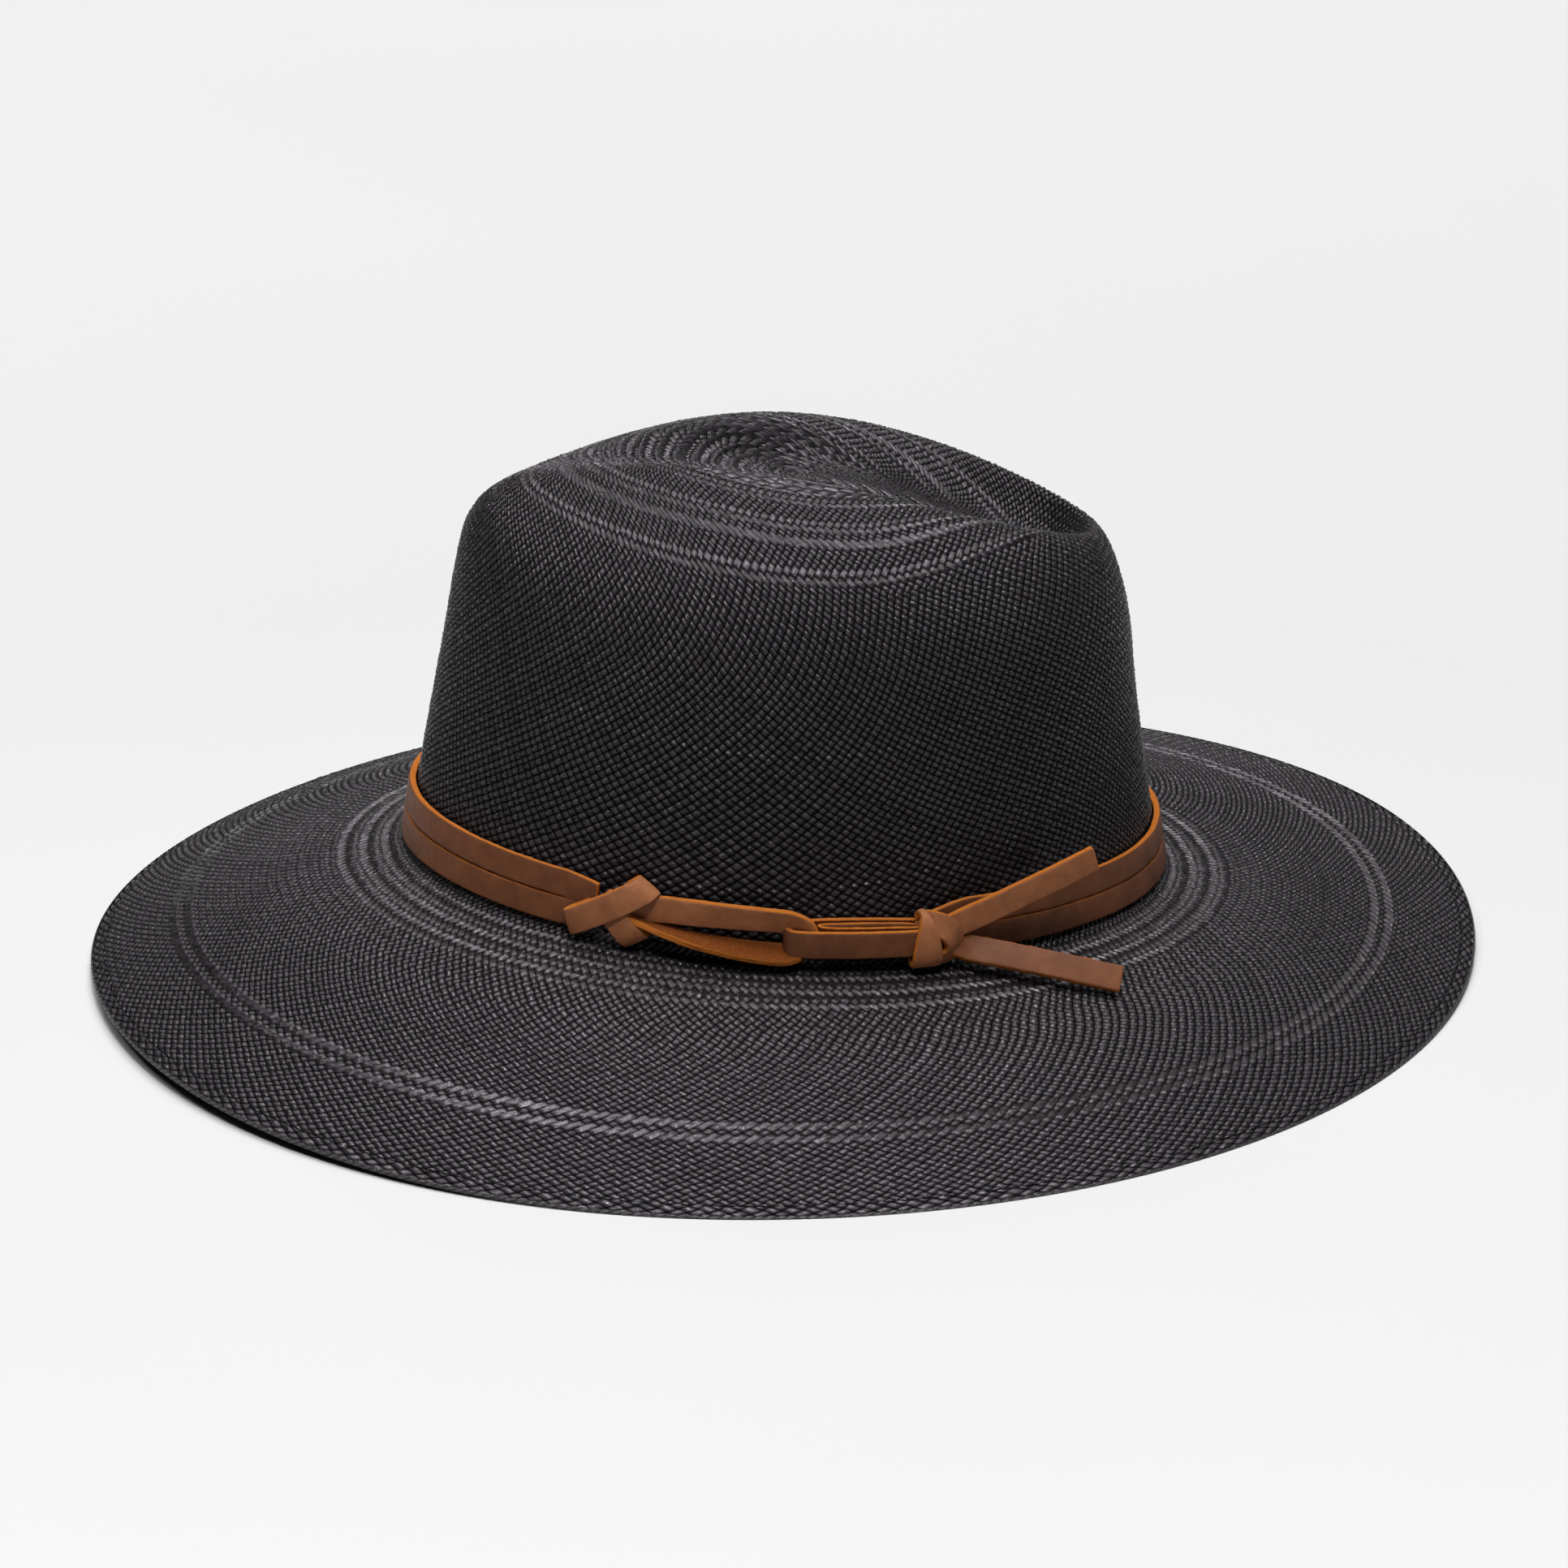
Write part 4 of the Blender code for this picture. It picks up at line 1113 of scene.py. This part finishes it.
def round_band(profile, steps, wave=0.0):
    """Closed ring beside the crown's wall, from a round of (height, standoff) in mm, whose top may wave."""
    degrees = np.linspace(0.0, 360.0, steps, endpoint=False)
    profile = np.asarray(profile, float)
    turn, height = np.meshgrid(degrees, profile[:, 0] * MM)
    standoff = np.broadcast_to(profile[:, 1:] * MM, turn.shape)
    swing = np.sin(np.radians(turn) * 5 + 0.7) + 0.6 * np.sin(np.radians(turn) * 11)
    reach = np.clip((height - profile[:, 0].min() * MM) / (np.ptp(profile[:, 0]) * MM), 0.0, 1.0)
    points = on_wall(turn, height, standoff - wave * reach**2 * (1.0 + swing / 1.6))
    count, around = len(profile), steps
    grid = np.arange(count * around).reshape(count, around)
    above, after = np.roll(grid, -1, axis=0), np.roll(grid, -1, axis=1)
    quads = np.stack([grid, after, np.roll(above, -1, axis=1), above], axis=-1).reshape(-1, 4)
    facts = {"along": np.radians(turn).reshape(-1) * SIDE_RADIUS, "across": height.reshape(-1)}
    return points.reshape(-1, 3), quads, facts


def outward_quads(points, quads):
    """The quads, turned over if they face into the closed shape they bound."""
    corner = points[quads]
    volume = np.einsum("ij,ij->i", corner[:, 0], np.cross(corner[:, 1], corner[:, 2])).sum()
    volume += np.einsum("ij,ij->i", corner[:, 0], np.cross(corner[:, 2], corner[:, 3])).sum()
    return quads[:, ::-1] if volume < 0 else quads


def plain_finish(name, dark, light, roughness, grain_size, grain_depth):
    """Finish for the pieces inside: two tones, fine grain and slow unevenness."""
    look = Finish(name)
    place = look.place(1.0 / MM)
    grain = look.noise(place, grain_size, 4.0, 0.6)
    patches = look.noise(place, 0.08, 3.0, 0.55)
    tone = look.spread(patches, 0.0, 0.6)
    tone = look.math("ADD", tone, look.spread(grain, 0.0, 0.4))
    colour = look.mix(tone, dark, light)
    rough = look.spread(grain, roughness, roughness + 0.15)
    return look, colour, rough, look.bump(grain, grain_depth, 0.8)


def ribbed_finish(name, dark, light, roughness, pitch_along, pitch_across, depth):
    """Woven finish whose ribs follow the piece's own length and width, at pitches in metres."""
    look, colour, rough, under = plain_finish(name, dark, light, roughness, 4.0, 0.03 * MM)
    ribs = look.math("SINE", look.math("MULTIPLY", look.attribute("along"), 2 * math.pi / pitch_along))
    warps = look.math("SINE", look.math("MULTIPLY", look.attribute("across"), 2 * math.pi / pitch_across))
    height = look.math("MULTIPLY_ADD", warps, 0.25, look.math("MULTIPLY", ribs, 0.5))
    # Painted shade and highlight: the colour is darker in the valleys between the ribs and lighter on their
    # crests.
    shade = look.scale_range(height, -0.7, 0.7, 0.45, 1.15)
    colour = look.mix(1.0, colour, look.join(shade, shade, shade), "MULTIPLY")
    normal = look.bump(height, depth, 1.0, under)
    return look.surface(Base_Color=colour, Roughness=rough, Specular_IOR_Level=0.25, Normal=normal)


def make_sweatband():
    """Leather band inside the crown's foot."""
    look, colour, rough, normal = plain_finish(
        "sweatband_leather", SWEAT_DARK, SWEAT_LIGHT, roughness=0.42, grain_size=1.9, grain_depth=0.06 * MM
    )
    leather = look.surface(Base_Color=colour, Roughness=rough, Specular_IOR_Level=0.4, Normal=normal)
    low, high = SWEATBAND_FOOT, SWEATBAND_FOOT + SWEATBAND_HEIGHT
    near, far = SWEATBAND_STANDOFFS
    ends = [high - 2.6, high - 2.2, high - 1.8, high - 0.5]
    heights = np.concatenate([[low + 0.3], np.linspace(low + 1.5, high - 3.2, 9), ends])
    dips = np.where(np.isclose(heights, high - 2.2), 0.22, 0.0)  # a line pressed along the band's top
    outer = [(height, near) for height in heights]
    top = [(high - 0.1, near - 0.25), (high, (near + far) / 2), (high - 0.1, far + 0.25)]
    inner = [(height, far + dip) for height, dip in zip(heights[::-1], dips[::-1])]
    foot = [(low + 0.05, far + 0.3), (low, (near + far) / 2), (low + 0.05, near - 0.3)]
    points, quads, facts = round_band(outer + top + inner + foot, BAND_STEPS, 0.25 * MM)
    mesh = mesh_of("sweatband_leather", points, outward_quads(points, quads), facts)
    add_piece("sweatband_leather", mesh, leather, "hat", ("sweatband",))


def make_reed():
    """The covered reed along the sweatband's foot."""
    turns = np.linspace(0.0, 2 * math.pi, REED_SIDES + 1)[:-1]
    heights = REED_HEIGHT + REED_RADIUS * np.sin(turns)
    standoffs = REED_STANDOFF + REED_RADIUS * np.cos(turns)
    points, quads, facts = round_band(np.stack([heights, standoffs], axis=1), BAND_STEPS)
    mesh = mesh_of("covered_reed", points, outward_quads(points, quads), facts)
    cover = ribbed_finish("reed_cover", REED_DARK, REED_LIGHT, 0.35, 1.4 * MM, 0.9 * MM, 0.12 * MM)
    add_piece("covered_reed", mesh, cover, "hat", ("sweatband_reed",))


def stitch(degrees, step):
    """One stitch: a short arched thread that goes into the leather at both ends."""
    degrees = degrees + np.linspace(-0.36, 0.36, STITCH_RINGS) * step
    arch = 1.0 - np.linspace(-1.0, 1.0, STITCH_RINGS) ** 4
    spine = on_wall(degrees, STITCH_HEIGHT * MM, (STITCH_STANDOFF + 0.30 * (1.0 - arch)) * MM)
    spine[:, 2] += np.linspace(-0.22, 0.22, STITCH_RINGS) * MM
    out = outward_at(degrees)
    radius = (STITCH_RADIUS * MM * (0.35 + 0.65 * np.sqrt(arch)))[:, None]
    turns = np.linspace(0.0, 2 * math.pi, STITCH_SIDES + 1)[:-1]
    rings = [spine + (out * math.cos(turn) + UP * math.sin(turn)) * radius for turn in turns]
    points = np.stack(rings, axis=1).reshape(-1, 3)
    near = np.array([(0, 5, 4, 1), (1, 4, 3, 2)])
    far = near[:, ::-1] + (STITCH_RINGS - 1) * STITCH_SIDES
    quads = np.concatenate([ring_quads(STITCH_RINGS, STITCH_SIDES), near, far])
    return {"points": points, "quads": outward_quads(points - points.mean(axis=0), quads)}


def make_stitches():
    """The sweatband's line of stitches."""
    step = 360.0 / STITCHES
    points, quads = joined([stitch(index * step, step) for index in range(STITCHES)])
    lengths = np.repeat(np.linspace(0.0, STITCH_LENGTH, STITCH_RINGS), STITCH_SIDES)
    facts = {"along": np.tile(lengths, STITCHES), "across": np.zeros(len(points))}
    mesh = mesh_of("sweatband_stitches", points, quads, facts)
    thread = ribbed_finish("thread", THREAD_DARK, THREAD_LIGHT, 0.6, 0.35 * MM, 1.0 * MM, 0.06 * MM)
    add_piece("sweatband_stitches", mesh, thread, "hat", ("sweatband_stitching",))


def make_bow():
    """Ribbon bow over the sweatband's seam: two loops in one ribbon, and the wrap round their middle."""
    ribbon = ribbed_finish("ribbon", RIBBON_DARK, RIBBON_LIGHT, 0.5, 0.75 * MM, 0.3 * MM, 0.10 * MM)
    middle = BOW_MIDDLE / MM
    half = [
        (0.0, -3.5, 0.72), (5.0, -3.5, 0.9), (11.2, -3.8, 1.0), (12.7, -4.8, 1.0),
        (11.4, -6.0, 1.0), (6.0, -6.7, 0.95), (1.5, -5.9, 0.74),
    ]
    stations = [(x, middle, out, 0, 1, 0, share) for x, out, share in half]
    stations += [(-x, middle, out, 0, 1, 0, share) for x, out, share in reversed(half)]
    loops = strap_mesh(local_line(180.0, stations), 81, BOW_HEIGHT, RIBBON_THICKNESS, RIBBON_CORNER)
    add_strap("ribbon_loops", [loops], ribbon, "hat", ("bow_loops",))
    ring = [
        (4.1, -3.6), (4.3, -5.0), (3.7, -6.7), (1.8, -7.3), (0.0, -7.4), (-1.8, -7.3), (-3.7, -6.7),
        (-4.3, -5.0), (-4.1, -3.6), (-2.5, -3.15), (0.0, -3.1), (2.5, -3.15), (4.1, -3.55),
    ]
    stations = [(0.1 * up, middle + up, out, 1, 0) for up, out in ring]
    wrap = strap_mesh(local_line(180.0, stations), 82, WRAP_WIDTH, RIBBON_THICKNESS, RIBBON_CORNER)
    add_strap("ribbon_wrap", [wrap], ribbon, "hat", ("bow_wrap",))


def make_tag():
    """Blank woven tag, with its two ends turned under."""
    cloth = ribbed_finish("tag_cloth", TAG_DARK, TAG_LIGHT, 0.8, 0.42 * MM, 0.36 * MM, 0.05 * MM)
    width, tall = TAG_SIZE
    half, middle = width / MM / 2, (TAG_HEIGHT + tall / 2) / MM
    fold = [(half - 5.0, -3.75), (half - 0.7, -3.7), (half, -3.4), (half - 0.7, -3.15), (half - 4.0, -3.15)]
    path = [(-x, out) for x, out in reversed(fold)] + [(0.0, -3.7)] + fold
    stations = [(x, middle, out) for x, out in path]
    cloth_strap = strap_mesh(local_line(TAG_ANGLE, stations), 91, tall, TAG_THICKNESS, RIBBON_CORNER)
    add_strap("woven_tag", [cloth_strap], cloth, "hat", ("size_tag",))


def softbox(name, azimuth, elevation, distance, size, power):
    """Rectangular lamp that faces the middle of the hat."""
    lamp = bpy.data.lights.new(name, "AREA")
    lamp.shape = "RECTANGLE"
    lamp.size, lamp.size_y = size
    lamp.energy = power
    made = bpy.data.objects.new(name, lamp)
    bpy.context.scene.collection.objects.link(made)
    turn, rise = math.radians(azimuth), math.radians(elevation)
    heading = Vector((math.cos(rise) * math.cos(turn), math.cos(rise) * math.sin(turn), math.sin(rise)))
    made.location = TARGET + heading * distance
    made.rotation_euler = heading.to_track_quat("Z", "Y").to_euler()


def make_studio():
    """Pale floor, wide lamps above and behind, and two small ones in front."""
    floor_mesh = bpy.data.meshes.new("floor")
    corners = [(x * FLOOR_REACH, y * FLOOR_REACH, 0.0) for x, y in ((-1, -1), (1, -1), (1, 1), (-1, 1))]
    floor_mesh.from_pydata(corners, [], [(0, 1, 2, 3)])
    floor = bpy.data.objects.new("floor", floor_mesh)
    floor.location.z = FLOOR_HEIGHT
    bpy.context.scene.collection.objects.link(floor)
    look = Finish("pale_floor")
    place = look.place()
    away = look.node("ShaderNodeVectorMath", {"operation": "LENGTH"}, Vector=place).outputs["Value"]
    shade = look.spread(look.noise(place, 3.0, 2.0), 0.985, 1.0)
    shade = look.math("MULTIPLY", shade, look.scale_range(away, *FLOOR_RISE, FLOOR_NEAR, FLOOR_FAR))
    colour = look.join(shade, shade, shade)
    floor_mesh.materials.append(look.surface(Base_Color=colour, Roughness=1.0, Specular_IOR_Level=0.0))

    world = bpy.data.worlds.new("studio")
    bpy.context.scene.world = world
    world.use_nodes = True
    background = world.node_tree.nodes["Background"]
    background.inputs["Color"].default_value = (1.0, 1.0, 1.0, 1.0)
    background.inputs["Strength"].default_value = WORLD_LIGHT
    for lamp in LAMPS:
        softbox(*lamp)


def make_camera():
    camera = bpy.data.cameras.new("camera")
    camera.lens = LENS
    camera.sensor_width = 36.0
    camera.shift_x, camera.shift_y = SHIFT
    camera.clip_start = 0.05
    made = bpy.data.objects.new("camera", camera)
    bpy.context.scene.collection.objects.link(made)
    turn, rise = math.radians(CAMERA_AZIMUTH), math.radians(CAMERA_ELEVATION)
    back = Vector((math.cos(rise) * math.sin(turn), -math.cos(rise) * math.cos(turn), math.sin(rise)))
    right = Vector((math.cos(turn), math.sin(turn), 0.0))
    up = back.cross(right)
    roll = math.radians(CAMERA_ROLL)
    right, up = right * math.cos(roll) + up * math.sin(roll), up * math.cos(roll) - right * math.sin(roll)
    axes = Matrix((right, up, back)).transposed().to_4x4()
    made.matrix_world = Matrix.Translation(TARGET + back * CAMERA_DISTANCE) @ axes
    bpy.context.scene.camera = made


crown_sheet = Sheet(crown_points, outwards=False)
brim_sheet = Sheet(brim_points, outwards=True)
make_woven_body()
make_lace()
make_sweatband()
make_reed()
make_stitches()
make_bow()
make_tag()
make_studio()
make_camera()
bpy.context.scene.view_settings.view_transform = "Standard"
